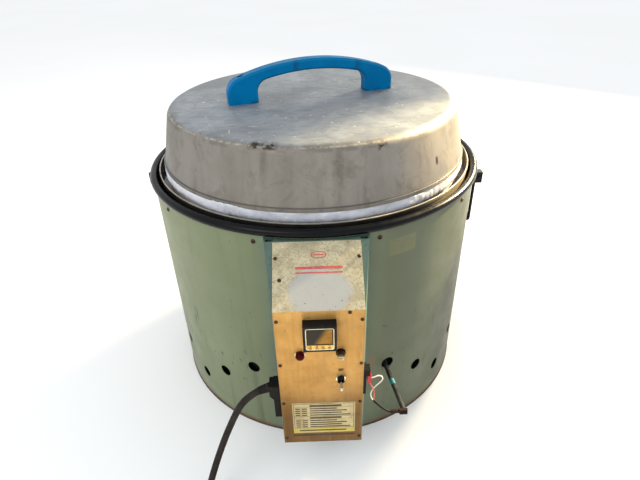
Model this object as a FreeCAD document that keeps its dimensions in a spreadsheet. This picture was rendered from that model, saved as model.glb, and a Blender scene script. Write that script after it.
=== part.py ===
import FreeCAD, Part
import Sketcher
import math
import os
import re

# Top-loading electric pottery kiln: a double-walled drum with a lift-off lid and a control box on its front.
# Millimetres. +Z is up, the front is -Y, and the origin is the middle of the drum's underside.
# An azimuth is measured about Z from the front, positive towards +X.

os.makedirs("parts", exist_ok=True)
doc = FreeCAD.newDocument("kiln")

DRIVING = {
    # drum
    "casing_radius": 310, "casing_foot": 3, "casing_top": 452, "casing_sheet": 1.2,
    "base_edge": 1.2, "base_sheet": 1.5, "base_flange": 25,
    "trim_tube": 7,
    "liner_radius": 297, "liner_sheet": 1, "liner_floor": 40, "liner_top": 463,
    "chamber_radius": 195, "chamber_floor": 120, "wall_top": 455, "packing_gap": 0.3,
    "rebate_radius": 281, "rebate_deep": 26,
    "groove_first": 165, "groove_pitch": 46, "groove_size": 14,
    "element_radius": 203, "element_wire_coil": 5,
    "vent_bore": 24, "vent_step": 13.2, "vent_first": 23.2,
    "screw_height": 434, "screw_turn": 36,
    # lid
    "lid_foot": 474.5, "lid_foot_radius": 285, "lid_top": 571, "lid_top_radius": 264.5, "lid_sheet": 1.2,
    "lid_round": 16, "collar_radius": 288, "lid_gap": 0.4,
    "handle_half": 157, "handle_width": 28, "handle_leg": 54, "handle_crown": 68,
    "handle_shoulder": 18, "handle_round": 27.3, "handle_underside": 49, "handle_inner_round": 22,
    "handle_bolt_place": 130, "handle_bevel": 3.5,
    # control box
    "box_foot": 95, "box_back": 300, "box_back_half": 80, "box_sheet": 1.2,
    "panel_half": 65, "panel_front": 399, "panel_sheet": 1.2, "fold_height": 381,
    "slant_length": 104, "slant_angle": 37.2, "ledge_height": 444,
    "controller_side": 48, "controller_middle": 342, "controller_reach": 15.5,
    # leads
    "cord_thick": 11.5, "coil_radius": 65, "coil_width": 35, "coil_tall": 22, "tie_sheet": 1.2,
    "sheath_thick": 8.5, "lead_thick": 3.6, "wire_thick": 2,
    # side handles
    "pivot_reach": 8, "pivot_height": 421, "bail_half": 42, "bail_drop": 108, "bail_rod": 6, "grip_thick": 16,
}

sizes = doc.addObject("Spreadsheet::Sheet", "sizes")
for row, (alias, size) in enumerate(DRIVING.items(), 1):
    sizes.set("A%d" % row, alias)
    sizes.set("B%d" % row, str(size))
    sizes.setAlias("B%d" % row, alias)
doc.recompute()

sub_parts = []


# ---------------------------------------------------------------- helpers

def bound(formula):
    """The formula with each driving dimension's name pointing at its cell."""
    return re.sub(r"[a-z]\w+", lambda m: "sizes." + m[0] if m[0] in DRIVING else m[0], str(formula))


def number(formula):
    """The formula's present value."""
    found = sizes.evalExpression(str(formula))
    return float(getattr(found, "Value", found))


def vector(x, y, z=0):
    return FreeCAD.Vector(number(x), number(y), number(z))


def keep(feature, name):
    """Marks a feature as the finished sub-part of that name."""
    feature.Label = name
    sub_parts.append(feature)
    return feature


def turned(azimuth, base=(0, 0, 0), axis=(0, 0, 1)):
    return FreeCAD.Placement(FreeCAD.Vector(*base), FreeCAD.Rotation(FreeCAD.Vector(*axis), azimuth))


def bind(feature, **formulas):
    for prop, formula in formulas.items():
        feature.setExpression(prop, bound(formula))


def sketch_on(body, role, offset="0"):
    sketch = body.newObject("Sketcher::SketchObject", body.Name + "_sketch")
    plane = [f for f in body.Origin.OriginFeatures if f.Role == role][0]
    sketch.AttachmentSupport = [(plane, "")]
    sketch.MapMode = "FlatFace"
    sketch.setExpression("AttachmentOffset.Base.z", bound(offset))
    return sketch


def outline(sketch, points, rises=None):
    """A closed outline through the points. rises bows some sides, by number, that far to the left."""
    rises = rises or {}
    corners = [vector(x, y) for x, y in points]
    first = sketch.GeometryCount
    count = len(points)
    for k in range(count):
        a, b = corners[k], corners[(k + 1) % count]
        if k in rises:
            along = b - a
            left = FreeCAD.Vector(-along.y, along.x, 0).normalize()
            sketch.addGeometry(Part.Arc(a, (a + b) * 0.5 + left * number(rises[k]), b), False)
        else:
            sketch.addGeometry(Part.LineSegment(a, b), False)
    for k in range(count):
        after = (k + 1) % count
        starts = ends = (1, 2)
        if k in rises and number(rises[k]) > 0:
            ends = (2, 1)
        if after in rises and number(rises[after]) > 0:
            starts = (2, 1)
        sketch.addConstraint(Sketcher.Constraint("Coincident", first + k, ends[1], first + after, starts[0]))
    for k, (x, y) in enumerate(points):
        start = 2 if k in rises and number(rises[k]) > 0 else 1
        for kind, formula, place in (("DistanceX", x, corners[k].x), ("DistanceY", y, corners[k].y)):
            named = sketch.addConstraint(Sketcher.Constraint(kind, -1, 1, first + k, start, place))
            sketch.setExpression("Constraints[%d]" % named, bound(formula))
    for k, rise in rises.items():
        a, b = points[k], points[(k + 1) % count]
        chord = "((%s - (%s))^2 + (%s - (%s))^2)" % (b[0], a[0], b[1], a[1])
        radius = "abs(%s / 8 / (%s) + (%s) / 2)" % (chord, rise, rise)
        named = sketch.addConstraint(Sketcher.Constraint("Radius", first + k, number(radius)))
        sketch.setExpression("Constraints[%d]" % named, bound(radius))


def ring(sketch, x, y, radius):
    """A full circle in the sketch."""
    place = vector(x, y)
    k = sketch.addGeometry(Part.Circle(place, FreeCAD.Vector(0, 0, 1), number(radius)), False)
    for kind, formula, at in (("DistanceX", x, place.x), ("DistanceY", y, place.y)):
        named = sketch.addConstraint(Sketcher.Constraint(kind, -1, 1, k, 3, at))
        sketch.setExpression("Constraints[%d]" % named, bound(formula))
    named = sketch.addConstraint(Sketcher.Constraint("Radius", k, number(radius)))
    sketch.setExpression("Constraints[%d]" % named, bound(radius))


def lathe(name, points, angle=360, rises=None):
    """A body turned about Z from a profile of (radius, height) points."""
    body = doc.addObject("PartDesign::Body", name)
    sketch = sketch_on(body, "XZ_Plane")
    outline(sketch, points, rises)
    doc.recompute()
    turn = body.newObject("PartDesign::Revolution", name + "_turn")
    turn.Profile = sketch
    turn.ReferenceAxis = (sketch, ["V_Axis"])
    turn.Angle = angle
    doc.recompute()
    return body


def plate(name, role, points, length, offset="0", rises=None, holes=(), both=False):
    """A body padded from an outline, with round holes at (x, y, radius) in the sketch."""
    body = doc.addObject("PartDesign::Body", name)
    sketch = sketch_on(body, role, offset)
    outline(sketch, points, rises)
    for x, y, radius in holes:
        ring(sketch, x, y, radius)
    doc.recompute()
    pad = body.newObject("PartDesign::Pad", name + "_pad")
    pad.Profile = sketch
    pad.setExpression("Length", bound(length))
    if both:
        pad.SideType = "Symmetric"
    doc.recompute()
    return body


def block(name, low, high):
    """A box between two corners, each given as three formulas."""
    box = doc.addObject("Part::Box", name)
    bind(box, Length="%s - (%s)" % (high[0], low[0]), Width="%s - (%s)" % (high[1], low[1]),
         Height="%s - (%s)" % (high[2], low[2]))
    for axis, formula in zip("xyz", low):
        box.setExpression("Placement.Base." + axis, bound(formula))
    return box


def rod(name, radius, length, placement, azimuth=0):
    """A cylinder along its placement's Z, turned about the drum's axis by the azimuth."""
    cylinder = doc.addObject("Part::Cylinder", name)
    bind(cylinder, Radius=radius, Height=length)
    cylinder.Placement = turned(azimuth) * placement
    return cylinder


def forward(x, y, z):
    """A placement at a point, given as formulas, whose own Z points out of the front."""
    return FreeCAD.Placement(vector(x, y, z), FreeCAD.Rotation(FreeCAD.Vector(1, 0, 0), 90))


def cut(name, base, *tools):
    tool = tools[0]
    if len(tools) > 1:
        tool = doc.addObject("Part::MultiFuse", name + "_tools")
        tool.Shapes = list(tools)
    made = doc.addObject("Part::Cut", name + "_cut")
    made.Base = base
    made.Tool = tool
    return made


def fuse(name, *features):
    made = doc.addObject("Part::MultiFuse", name + "_join")
    made.Shapes = list(features)
    return made


def gathered(name, shapes):
    """Separate solids that share one node."""
    made = doc.addObject("Part::Feature", name)
    made.Shape = Part.makeCompound(shapes)
    return made


def copies(name, original, placements):
    """Identical fasteners or fittings, each a solid of its own."""
    doc.recompute()
    shapes = []
    for placement in placements:
        shape = original.Shape.copy()
        shape.Placement = placement * original.Shape.Placement
        shapes.append(shape)
    return gathered(name, shapes)


def route_path(points):
    """Straight runs joined by tangent arcs, each arc as large as its two runs allow."""
    corners = [FreeCAD.Vector(*p) for p in points]
    arc_share = 0.45
    edges, radii, at = [], [], corners[0]
    for before, corner, after in zip(corners, corners[1:], corners[2:]):
        back, ahead = before - corner, after - corner
        reach = arc_share * min(back.Length, ahead.Length)
        back.normalize()
        ahead.normalize()
        half_turn = (math.pi - back.getAngle(ahead)) / 2
        radius = reach / math.tan(half_turn)
        middle = (back + ahead).normalize() * (radius / math.cos(half_turn) - radius)
        start, end = corner + back * reach, corner + ahead * reach
        edges += [Part.LineSegment(at, start).toShape(), Part.Arc(start, corner + middle, end).toShape()]
        radii.append(radius)
        at = end
    edges.append(Part.LineSegment(at, corners[-1]).toShape())
    return Part.Wire(edges), radii


def tube(name, points, thick):
    """A flexible lead's tube along its route."""
    path, radii = route_path(points)
    start = path.OrderedEdges[0]
    section = Part.Wire([Part.makeCircle(thick / 2, start.valueAt(start.FirstParameter),
                                         start.tangentAt(start.FirstParameter))])
    solid = path.makePipeShell([section], True, False)
    wanted = math.pi * thick ** 2 / 4 * path.Length
    print("%s: length %.1f, radii %s, volume %.4f of the section times the length" % (
        name, path.Length, [round(r, 1) for r in radii], abs(solid.Volume) / wanted))
    made = doc.addObject("Part::Feature", name)
    made.Shape = solid
    return made


def pan_screw(name, head_radius, head_tall, shank_radius, shank_length):
    """A cross-recessed pan head screw along +Z, its head's underside at the origin."""
    body = lathe(name, [("0", -shank_length), (shank_radius, -shank_length), (shank_radius, "0"),
                        (head_radius, "0"), (head_radius, head_tall * 0.45),
                        (head_radius * 0.6, head_tall), ("0", head_tall)])
    slot_half, slot_wide, slot_deep = head_radius * 0.6, head_radius * 0.13, head_tall * 0.5
    slots = [block(name + "_slot_x", (-slot_half, -slot_wide, head_tall - slot_deep),
                   (slot_half, slot_wide, head_tall + 1)),
             block(name + "_slot_y", (-slot_wide, -slot_half, head_tall - slot_deep),
                   (slot_wide, slot_half, head_tall + 1))]
    return cut(name, body, *slots)


# ---------------------------------------------------------------- drum

def vent_places():
    """Azimuth and height of each vent: a zigzag that runs round both sides from the front."""
    zigzag = (158, 114, 63, 105)
    last = 12
    for k in range(last):
        for side in (-1, 1):
            yield side * (number("vent_first") + k * number("vent_step")), zigzag[k % len(zigzag)]


def screw_turns():
    """Azimuth of each screw under the rim."""
    return [18 + k * number("screw_turn") for k in range(10)]


def drum_shells():
    keep(lathe("base_pan", [
        ("0", "0"), ("casing_radius + base_edge", "0"), ("casing_radius + base_edge", "casing_foot"),
        ("casing_radius - casing_sheet - 0.3", "casing_foot"),
        ("casing_radius - casing_sheet - 0.3", "base_flange"),
        ("casing_radius - casing_sheet - 0.3 - base_sheet", "base_flange"),
        ("casing_radius - casing_sheet - 0.3 - base_sheet", "base_sheet"), ("0", "base_sheet")]), "base_pan")
    shell = lathe("casing_shell", [
        ("casing_radius - casing_sheet", "casing_foot"), ("casing_radius", "casing_foot"),
        ("casing_radius", "casing_top"), ("casing_radius - casing_sheet", "casing_top")])
    vents = [rod("vent_%d" % k, "vent_bore / 2", "40", forward("0", "20 - casing_radius", height), azimuth)
             for k, (azimuth, height) in enumerate(vent_places())]
    window = block("casing_window", ("-50", "-casing_radius - 5", "130"), ("50", "-box_back + 10", "410"))
    screw_start = forward("0", "4 - casing_radius", "screw_height")
    screw_ways = [rod("casing_screw_way_%d" % k, "1.9", "8", screw_start, turn)
                  for k, turn in enumerate(screw_turns())]
    keep(cut("outer_casing", shell, window, *vents, *screw_ways), "outer_casing")
    bead = doc.addObject("Part::Torus", "trim_bead")
    bind(bead, Radius1="casing_radius - casing_sheet / 2", Radius2="trim_tube")
    bead.setExpression("Placement.Base.z", bound("casing_top + 1"))
    keep(cut("rim_trim", bead, shell), "rim_trim")


def liner_and_insulation():
    inside = "(liner_radius - liner_sheet)"
    wall_outside = "liner_radius - liner_sheet - packing_gap"
    liner = lathe("liner_shell", [
        ("0", "liner_floor"), ("liner_radius", "liner_floor"), ("liner_radius", "liner_top - 5"),
        ("liner_radius + 1", "liner_top - 5"), ("liner_radius + 1", "liner_top"), (inside, "liner_top"),
        (inside, "liner_floor + base_sheet"), ("0", "liner_floor + base_sheet")])
    profile = [(wall_outside, "liner_floor + base_sheet"), (wall_outside, "wall_top - rebate_deep"),
               ("rebate_radius", "wall_top - rebate_deep"), ("rebate_radius", "wall_top"),
               ("chamber_radius", "wall_top")]
    for k in reversed(range(6)):
        middle = "groove_first + %d * groove_pitch" % k
        deep = "chamber_radius + groove_size + 1"
        profile += [("chamber_radius", middle + " + groove_size / 2"), (deep, middle + " + groove_size / 2"),
                    (deep, middle + " - groove_size / 2"), ("chamber_radius", middle + " - groove_size / 2")]
    profile.append(("chamber_radius", "liner_floor + base_sheet"))
    wall = lathe("wall_block", profile)
    probe = rod("probe_way", "sheath_thick / 2 + 0.5", "320", probe_placement(-250))
    bores = [rod("stud_way_%d" % k, "7.1", "140", forward(x, "-190", z))
             for k, (x, z) in enumerate(stud_places())]
    liner_tools = fuse("liner_ways", probe, *bores)
    keep(cut("inner_liner", liner, liner_tools), "inner_liner")
    risers = [rod("riser_way_%d" % k, "8.5", "groove_pitch", turned(azimuth) * turned(0, (0, -199, height)))
              for k, (azimuth, height) in enumerate(riser_places())]
    keep(cut("wall_insulation", wall, liner_tools, *risers), "wall_insulation")
    keep(lathe("floor_insulation", [
        ("0", "liner_floor + base_sheet"), ("chamber_radius - packing_gap", "liner_floor + base_sheet"),
        ("chamber_radius - packing_gap", "chamber_floor"), ("0", "chamber_floor")]), "floor_insulation")


def drum_fittings():
    spacer = lathe("spacer", [
        ("liner_radius", "screw_height - 9"), ("casing_radius - casing_sheet", "screw_height - 9"),
        ("casing_radius - casing_sheet", "screw_height + 9"), ("liner_radius", "screw_height + 9")], angle=4)
    middle = FreeCAD.Rotation(FreeCAD.Vector(0, 0, 1), -92)
    bore = rod("spacer_bore", "1.9", "14", forward("0", "-liner_radius + 1", "screw_height"))
    spacer.Placement = FreeCAD.Placement(FreeCAD.Vector(), middle)
    bored = cut("spacer_bored", spacer, bore)
    keep(copies("wall_spacers", bored, [turned(a) for a in screw_turns()]), "wall_spacers")
    screw = pan_screw("casing_screw", 3.6, 2.4, 1.8, 9)
    at = forward("0", "-casing_radius", "screw_height")
    keep(copies("casing_screws", screw, [turned(a) * at for a in screw_turns()]), "casing_screws")
    pillar = lathe("pillar", [("9", "base_sheet"), ("12", "base_sheet"), ("12", "liner_floor"),
                              ("9", "liner_floor")])
    circle = 220
    keep(copies("floor_pillars", pillar, [turned(30 + 60 * k) * FreeCAD.Placement(
        FreeCAD.Vector(0, -circle, 0), FreeCAD.Rotation()) for k in range(6)]), "floor_pillars")


# ---------------------------------------------------------------- heating

TERMINAL_TURN = 4  # degrees from the front to each end of a heating ring


def stud_places():
    """x and z of the four terminal studs: the first and last end of each heating element."""
    aside = number("element_radius") * math.sin(math.radians(TERMINAL_TURN))
    for k, side in ((0, -1), (2, 1), (3, -1), (5, 1)):
        yield side * aside, number("groove_first") + k * number("groove_pitch")


def riser_places():
    """Azimuth and foot of each riser between two neighbouring rings of one element."""
    for element in range(2):
        for k, side in ((0, 1), (1, -1)):
            yield side * TERMINAL_TURN, number("groove_first") + (3 * element + k) * number("groove_pitch")


def heating_element(name):
    """Three open rings of coiled wire in neighbouring grooves, joined end to end by risers."""
    rings = []
    height = [number("groove_first + %d * groove_pitch" % k) for k in range(3)]
    for k in range(3):
        hoop = doc.addObject("Part::Torus", "%s_ring_%d" % (name, k))
        bind(hoop, Radius1="element_radius", Radius2="element_wire_coil")
        hoop.Angle3 = 360 - 2 * TERMINAL_TURN
        hoop.Placement = turned(-90 + TERMINAL_TURN, (0, 0, height[k]))
        rings.append(hoop)
    for k, side in ((0, 1), (1, -1)):
        aside = side * math.radians(TERMINAL_TURN)
        riser = doc.addObject("Part::Cylinder", "%s_riser_%d" % (name, k))
        bind(riser, Radius="element_wire_coil * 0.6", Height="groove_pitch")
        radius = number("element_radius")
        riser.Placement.Base = FreeCAD.Vector(radius * math.sin(aside), -radius * math.cos(aside), height[k])
        rings.append(riser)
    return fuse(name, *rings)


def heating():
    rise = number("3 * groove_pitch")
    keep(copies("heating_elements", heating_element("element"), [turned(0), turned(0, (0, 0, rise))]),
         "heating_elements")
    # the stud's inner end clamps the coil's tail, and its outer end takes the lead
    bush = lathe("bush", [("3.2", "0"), ("7", "0"), ("7", "96"), ("10", "96"), ("10", "102"), ("3.2", "102")])
    stud = fuse("stud", rod("stud_bar", "3", "130", FreeCAD.Placement()),
                rod("stud_nut_inner", "5.5", "4", turned(0, (0, 0, 112))),
                rod("stud_nut_outer", "5.5", "4", turned(0, (0, 0, 120))))
    places = list(stud_places())
    keep(copies("element_bushes", bush, [forward(x, "-216", z) for x, z in places]), "element_bushes")
    keep(copies("element_studs", stud, [forward(x, "-209.5", z) for x, z in places]), "element_studs")


# ---------------------------------------------------------------- lid

def lid():
    slope = "(lid_foot_radius - lid_top_radius) / (lid_top - lid_foot)"
    inner_top = "lid_top - lid_sheet"
    hem = "lid_foot + 6"
    shell = lathe("lid_pan", [
        ("0", inner_top), ("lid_top_radius - lid_sheet", inner_top),
        ("lid_foot_radius - lid_sheet", "lid_foot"), ("lid_foot_radius + 1", "lid_foot"),
        ("lid_foot_radius + 1", hem), ("lid_foot_radius - 6 * " + slope, hem),
        ("lid_top_radius", "lid_top"), ("0", "lid_top")])
    doc.recompute()
    corners = [("lid_top_radius", "lid_top", "lid_round"),
               ("lid_top_radius - lid_sheet", inner_top, "lid_round - lid_sheet")]
    for k, (radius, height, size) in enumerate(corners):
        base = shell.Tip
        names = ["Edge%d" % (i + 1) for i, e in enumerate(base.Shape.Edges)
                 if isinstance(e.Curve, Part.Circle) and abs(e.Curve.Radius - number(radius)) < 0.01
                 and abs(e.Curve.Center.z - number(height)) < 0.01]
        rounding = shell.newObject("PartDesign::Fillet", "lid_round_%d" % k)
        rounding.Base = (base, names)
        rounding.setExpression("Radius", bound(size))
        doc.recompute()
    seat = turned(16, (0, 0, number("lid_top")))
    holes = [rod("lid_bolt_way_%d" % k, "3.3", "20", seat * FreeCAD.Placement(
        FreeCAD.Vector(side * number("handle_bolt_place"), 0, -10), FreeCAD.Rotation()))
        for k, side in enumerate((-1, 1))]
    keep(cut("lid_shell", shell, *holes), "lid_shell")
    under = "wall_top + lid_gap"
    block_radius, block_tall = "lid_foot_radius - lid_sheet - 0.5", 70
    keep(lathe("lid_insulation", [
        ("0", under), ("collar_radius - 2", under), ("collar_radius", under + " + 2"),
        ("collar_radius", "lid_foot - 0.3"), (block_radius, "lid_foot - 0.3"),
        ("%s - %d * %s" % (block_radius, block_tall, slope), "lid_foot + %d" % block_tall),
        ("0", "lid_foot + %d" % block_tall)]), "lid_insulation")
    lid_handle(seat)


def arch(half, foot, crown, rounding):
    """Where a crowned arch meets its rounded shoulders: the arch's radius and the contact's x and height."""
    drop = "(%s - %s)" % (crown, foot)
    radius = "(((%s) - %s)^2 + %s^2 - (%s)^2) / 2 / (%s - %s)" % (
        half, rounding, drop, rounding, drop, rounding)
    share = "((%s) / ((%s) - %s))" % (radius, radius, rounding)
    across = "((%s) - %s) * %s" % (half, rounding, share)
    height = "%s - (%s) + ((%s) - %s) * %s" % (crown, radius, radius, drop, share)
    return across, height


def shoulder_rise(half, foot, across, height, rounding):
    """How far a shoulder of that radius bulges from its chord."""
    chord = "sqrt(((%s) - (%s))^2 + ((%s) - %s)^2)" % (half, across, height, foot)
    return "%s - sqrt((%s)^2 - (%s)^2 / 4)" % (rounding, rounding, chord)


def lid_handle(seat):
    """A bridge handle with a shallow arch, bolted down through a deep counterbore in each leg."""
    outer, inner, foot = "handle_half", "(handle_half - handle_leg)", "handle_shoulder"
    across, height = arch(outer, foot, "handle_crown", "handle_round")
    within, under = arch(inner, foot, "handle_underside", "handle_inner_round")
    shoulder = shoulder_rise(outer, foot, across, height, "handle_round")
    armpit = shoulder_rise(inner, foot, within, under, "handle_inner_round")
    points = [("-" + outer, "0"), ("-" + outer, foot), ("-(%s)" % across, height), (across, height),
              (outer, foot), (outer, "0"), (inner, "0"), (inner, foot), (within, under),
              ("-(%s)" % within, under), ("-" + inner, foot), ("-" + inner, "0")]
    rises = {1: shoulder, 2: "handle_crown - (%s)" % height, 3: shoulder,
             7: "-(%s)" % armpit, 8: "(%s) - handle_underside" % under, 9: "-(%s)" % armpit}
    bridge = plate("bridge", "XZ_Plane", points, "handle_width", rises=rises, both=True)
    tip = bridge.Tip
    names = []
    for i, edge in enumerate(tip.Shape.Edges):
        middle = edge.valueAt((edge.FirstParameter + edge.LastParameter) / 2)
        on_side = abs(abs(middle.y) - number("handle_width / 2")) < 0.01
        outside = math.hypot(middle.x / number(within), middle.z / number("handle_underside")) > 1.1
        if on_side and outside and middle.z > 1:
            names.append("Edge%d" % (i + 1))
    bevel = bridge.newObject("PartDesign::Chamfer", "bridge_bevel")
    bevel.Base = (tip, names)
    bevel.setExpression("Size", bound("handle_bevel"))
    doc.recompute()
    bridge.Placement = seat
    bores = []
    for k, side in enumerate((-1, 1)):
        place = side * number("handle_bolt_place")
        bores.append(rod("handle_bore_%d" % k, "3.3", "30", seat * turned(0, (place, 0, -1))))
        bores.append(rod("handle_counterbore_%d" % k, "5.8", "70", seat * turned(0, (place, 0, 14))))
    keep(cut("lid_handle", bridge, *bores), "lid_handle")
    bolt = fuse("lid_bolt", rod("lid_bolt_head", "5", "5", turned(0, (0, 0, 14))),
                rod("lid_bolt_shank", "3", "32", turned(0, (0, 0, -18))),
                rod("lid_bolt_washer", "8", "1.5", turned(0, (0, 0, -2.7))),
                rod("lid_bolt_nut", "5.5", "5", turned(0, (0, 0, -7.7))))
    keep(copies("lid_handle_bolts", bolt, [
        seat * turned(0, (side * number("handle_bolt_place"), 0, 0)) for side in (-1, 1)]), "lid_handle_bolts")


# ---------------------------------------------------------------- side handles

SIDE_HANDLES = {"right": 90, "left": -98}
BRACKET_MIDDLE, BRACKET_HALF, BRACKET_TALL = 59, 8, 22


def side_handles():
    reach = "casing_radius + pivot_reach"
    brackets = []
    for side in (-1, 1):
        x = side * BRACKET_MIDDLE
        cheek = block("bracket_block_%s" % ("left" if side < 0 else "right"),
                      (x - BRACKET_HALF, "-(%s) - 6" % reach, "pivot_height - %d / 2" % BRACKET_TALL),
                      (x + BRACKET_HALF, "-casing_radius + 12", "pivot_height + %d / 2" % BRACKET_TALL))
        drum = doc.addObject("Part::Cylinder", "bracket_drum_%d" % (side + 1))
        bind(drum, Radius="casing_radius", Height="casing_top")
        hole = doc.addObject("Part::Cylinder", "bracket_hole_%d" % (side + 1))
        bind(hole, Radius="bail_rod / 2 + 0.3", Height="200")
        hole.Placement = FreeCAD.Placement(vector("-100", "-(%s)" % reach, "pivot_height"),
                                           FreeCAD.Rotation(FreeCAD.Vector(0, 1, 0), 90))
        brackets.append(cut("bracket_%d" % (side + 1), cheek, drum, hole))
    doc.recompute()
    shapes = []
    for azimuth in SIDE_HANDLES.values():
        for bracket in brackets:
            shape = bracket.Shape.copy()
            shape.Placement = turned(azimuth) * shape.Placement
            shapes.append(shape)
    keep(gathered("side_handle_brackets", shapes), "side_handle_brackets")
    pivot_y, pivot_z = -number(reach), number("pivot_height")
    half, drop = number("bail_half"), number("bail_drop")
    end = BRACKET_MIDDLE + BRACKET_HALF + 2
    corner = 8  # bend radius of the bail's rod
    path = bail_path(half, end, drop, pivot_y, pivot_z, corner)
    start = path.OrderedEdges[0]
    section = Part.Wire([Part.makeCircle(number("bail_rod / 2"), start.valueAt(start.FirstParameter),
                                         FreeCAD.Vector(1, 0, 0))])
    rod_shape = path.makePipeShell([section], True, False)
    for name, azimuth in SIDE_HANDLES.items():
        bail = doc.addObject("Part::Feature", "side_bail_" + name)
        bail.Shape = rod_shape
        bail.Placement = turned(azimuth)
        keep(bail, "side_bail_" + name)
        grip = doc.addObject("Part::Cylinder", "grip_bar_" + name)
        bind(grip, Radius="grip_thick / 2", Height="(bail_half - 10) * 2")
        bore = doc.addObject("Part::Cylinder", "grip_bore_" + name)
        bind(bore, Radius="bail_rod / 2", Height="bail_half * 2")
        for feature, from_x in ((grip, 10 - half), (bore, -half)):
            feature.Placement = turned(azimuth) * FreeCAD.Placement(
                FreeCAD.Vector(from_x, pivot_y, pivot_z - drop), FreeCAD.Rotation(FreeCAD.Vector(0, 1, 0), 90))
        keep(cut("side_grip_" + name, grip, bore), "side_grip_" + name)


def bail_path(half, end, drop, y, z, corner):
    """The bail's centre line: in from one bracket, down, along the grip, up, and out through the other."""
    bends = [(-half, z), (-half, z - drop), (half, z - drop), (half, z)]
    stops = [(-end, z)] + bends + [(end, z)]
    edges, at = [], FreeCAD.Vector(-end, y, z)
    for before, bend, after in zip(stops, bends, stops[2:]):
        here = FreeCAD.Vector(bend[0], y, bend[1])
        back = (FreeCAD.Vector(before[0], y, before[1]) - here).normalize()
        ahead = (FreeCAD.Vector(after[0], y, after[1]) - here).normalize()
        start, stop = here + back * corner, here + ahead * corner
        centre = here + (back + ahead) * corner
        middle = centre + (here - centre).normalize() * corner
        edges += [Part.LineSegment(at, start).toShape(), Part.Arc(start, middle, stop).toShape()]
        at = stop
    edges.append(Part.LineSegment(at, FreeCAD.Vector(end, y, z)).toShape())
    return Part.Wire(edges)


# ---------------------------------------------------------------- control box

SLANT_RUN = "slant_length * cos(slant_angle * 1deg)"
SLANT_RISE = "slant_length * sin(slant_angle * 1deg)"
PANEL_SCREW_ASIDE = 60.8
PANEL_SCREW_HEIGHTS = (107, 193, 278, 364)
SLANT_SCREW_DOWN = 25
LAMP = (-30, 300)
FUSE = (30, 302)
TOGGLE = (30, 249)
KEY_PLACES = [(-13.5 + 9 * k, 325.5) for k in range(4)]


def on_slant(x, down):
    """A placement on the slant, a distance down from its top edge, with its own Z pointing out."""
    slope = math.radians(number("slant_angle"))
    along = number("slant_length") - down
    base = FreeCAD.Vector(x, -number("panel_front") + along * math.cos(slope),
                          number("fold_height") + along * math.sin(slope))
    return FreeCAD.Placement(base, FreeCAD.Rotation(FreeCAD.Vector(1, 0, 0), number("slant_angle")))


def box_form(name, inset):
    """The flared outside of the control box, or its hollow when inset by the sheet's thickness."""
    half_back, half_front = "(box_back_half - %s)" % inset, "(panel_half - %s)" % inset
    front = "(panel_front - panel_sheet - %s)" % inset
    top = "(ledge_height - %s)" % inset
    form = plate(name, "XY_Plane", [
        ("-" + half_back, "-box_back + 2"), ("-" + half_front, "-" + front),
        (half_front, "-" + front), (half_back, "-box_back + 2")],
        "%s - (box_foot + %s)" % (top, inset), offset="box_foot + %s" % inset)
    # the slant takes the top front edge off, level with the panel's inner face
    sketch = sketch_on(form, "YZ_Plane")
    fold = "fold_height - (panel_sheet + %s) * tan((90 - slant_angle) / 2 * 1deg)" % inset
    outline(sketch, [
        ("-" + front, fold),
        ("-%s + (%s - (%s)) / tan(slant_angle * 1deg)" % (front, "ledge_height + 40", fold),
         "ledge_height + 40"),
        ("-%s - 60" % front, "ledge_height + 40"), ("-%s - 60" % front, fold)])
    doc.recompute()
    pocket = form.newObject("PartDesign::Pocket", name + "_slant")
    pocket.Profile = sketch
    pocket.SideType = "Symmetric"
    pocket.Length = 400
    doc.recompute()
    return form


def control_box():
    outer = box_form("box_outer", "0")
    inner = box_form("box_inner", "box_sheet")
    flange = 12
    mouth = block("box_mouth", ("-panel_half + %d" % flange, "-panel_front - 5", "box_foot + %d" % flange),
                  ("panel_half - %d" % flange, "-box_back - 22", "ledge_height - %d" % flange))
    drum = doc.addObject("Part::Cylinder", "box_drum")
    bind(drum, Radius="casing_radius", Height="casing_top + 20")
    slots = [block("ledge_slot_%d" % k, (x, "-casing_radius - 3.6", "ledge_height - 3"),
                   (x + 11, "-casing_radius + 4.6", "ledge_height + 3")) for k, x in enumerate((-76, 65))]
    cord_way = block("box_cord_way", ("-90", "-382", "192"), ("-55", "-366", "212"))
    ways = panel_screw_ways("box_screw_way")
    keep(cut("control_box", outer, inner, mouth, drum, cord_way, *slots, *ways), "control_box")


def front_panel():
    turn = "tan((90 - slant_angle) / 2 * 1deg)"
    top_y, top_z = "-panel_front + " + SLANT_RUN, "fold_height + " + SLANT_RISE
    sheet = plate("panel_sheet_body", "YZ_Plane", [
        ("-panel_front", "box_foot"), ("-panel_front", "fold_height"), (top_y, top_z),
        (top_y + " + panel_sheet * sin(slant_angle * 1deg)",
         top_z + " - panel_sheet * cos(slant_angle * 1deg)"),
        ("-panel_front + panel_sheet", "fold_height - panel_sheet * " + turn),
        ("-panel_front + panel_sheet", "box_foot")], "panel_half * 2", both=True)
    window = block("panel_window", ("-22.5", "-panel_front - 2", "controller_middle - 22.5"),
                   ("22.5", "-panel_front + 4", "controller_middle + 22.5"))
    holes = [rod("panel_hole_%d" % k, radius, "8", forward(x, "-panel_front + 4", z))
             for k, ((x, z), radius) in enumerate(((LAMP, "5"), (FUSE, "5.6"), (TOGGLE, "5.9")))]
    keep(cut("front_panel", sheet, window, *holes, *panel_screw_ways("panel_screw_way")), "front_panel")
    screw = pan_screw("panel_screw", 2.75, 1.8, 1.45, 6)
    keep(copies("panel_screws", screw, panel_screw_places()), "panel_screws")
    keep(block("instruction_plate", ("-48", "-panel_front - 0.6", "120"), ("53", "-panel_front", "193")),
         "instruction_plate")


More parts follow.
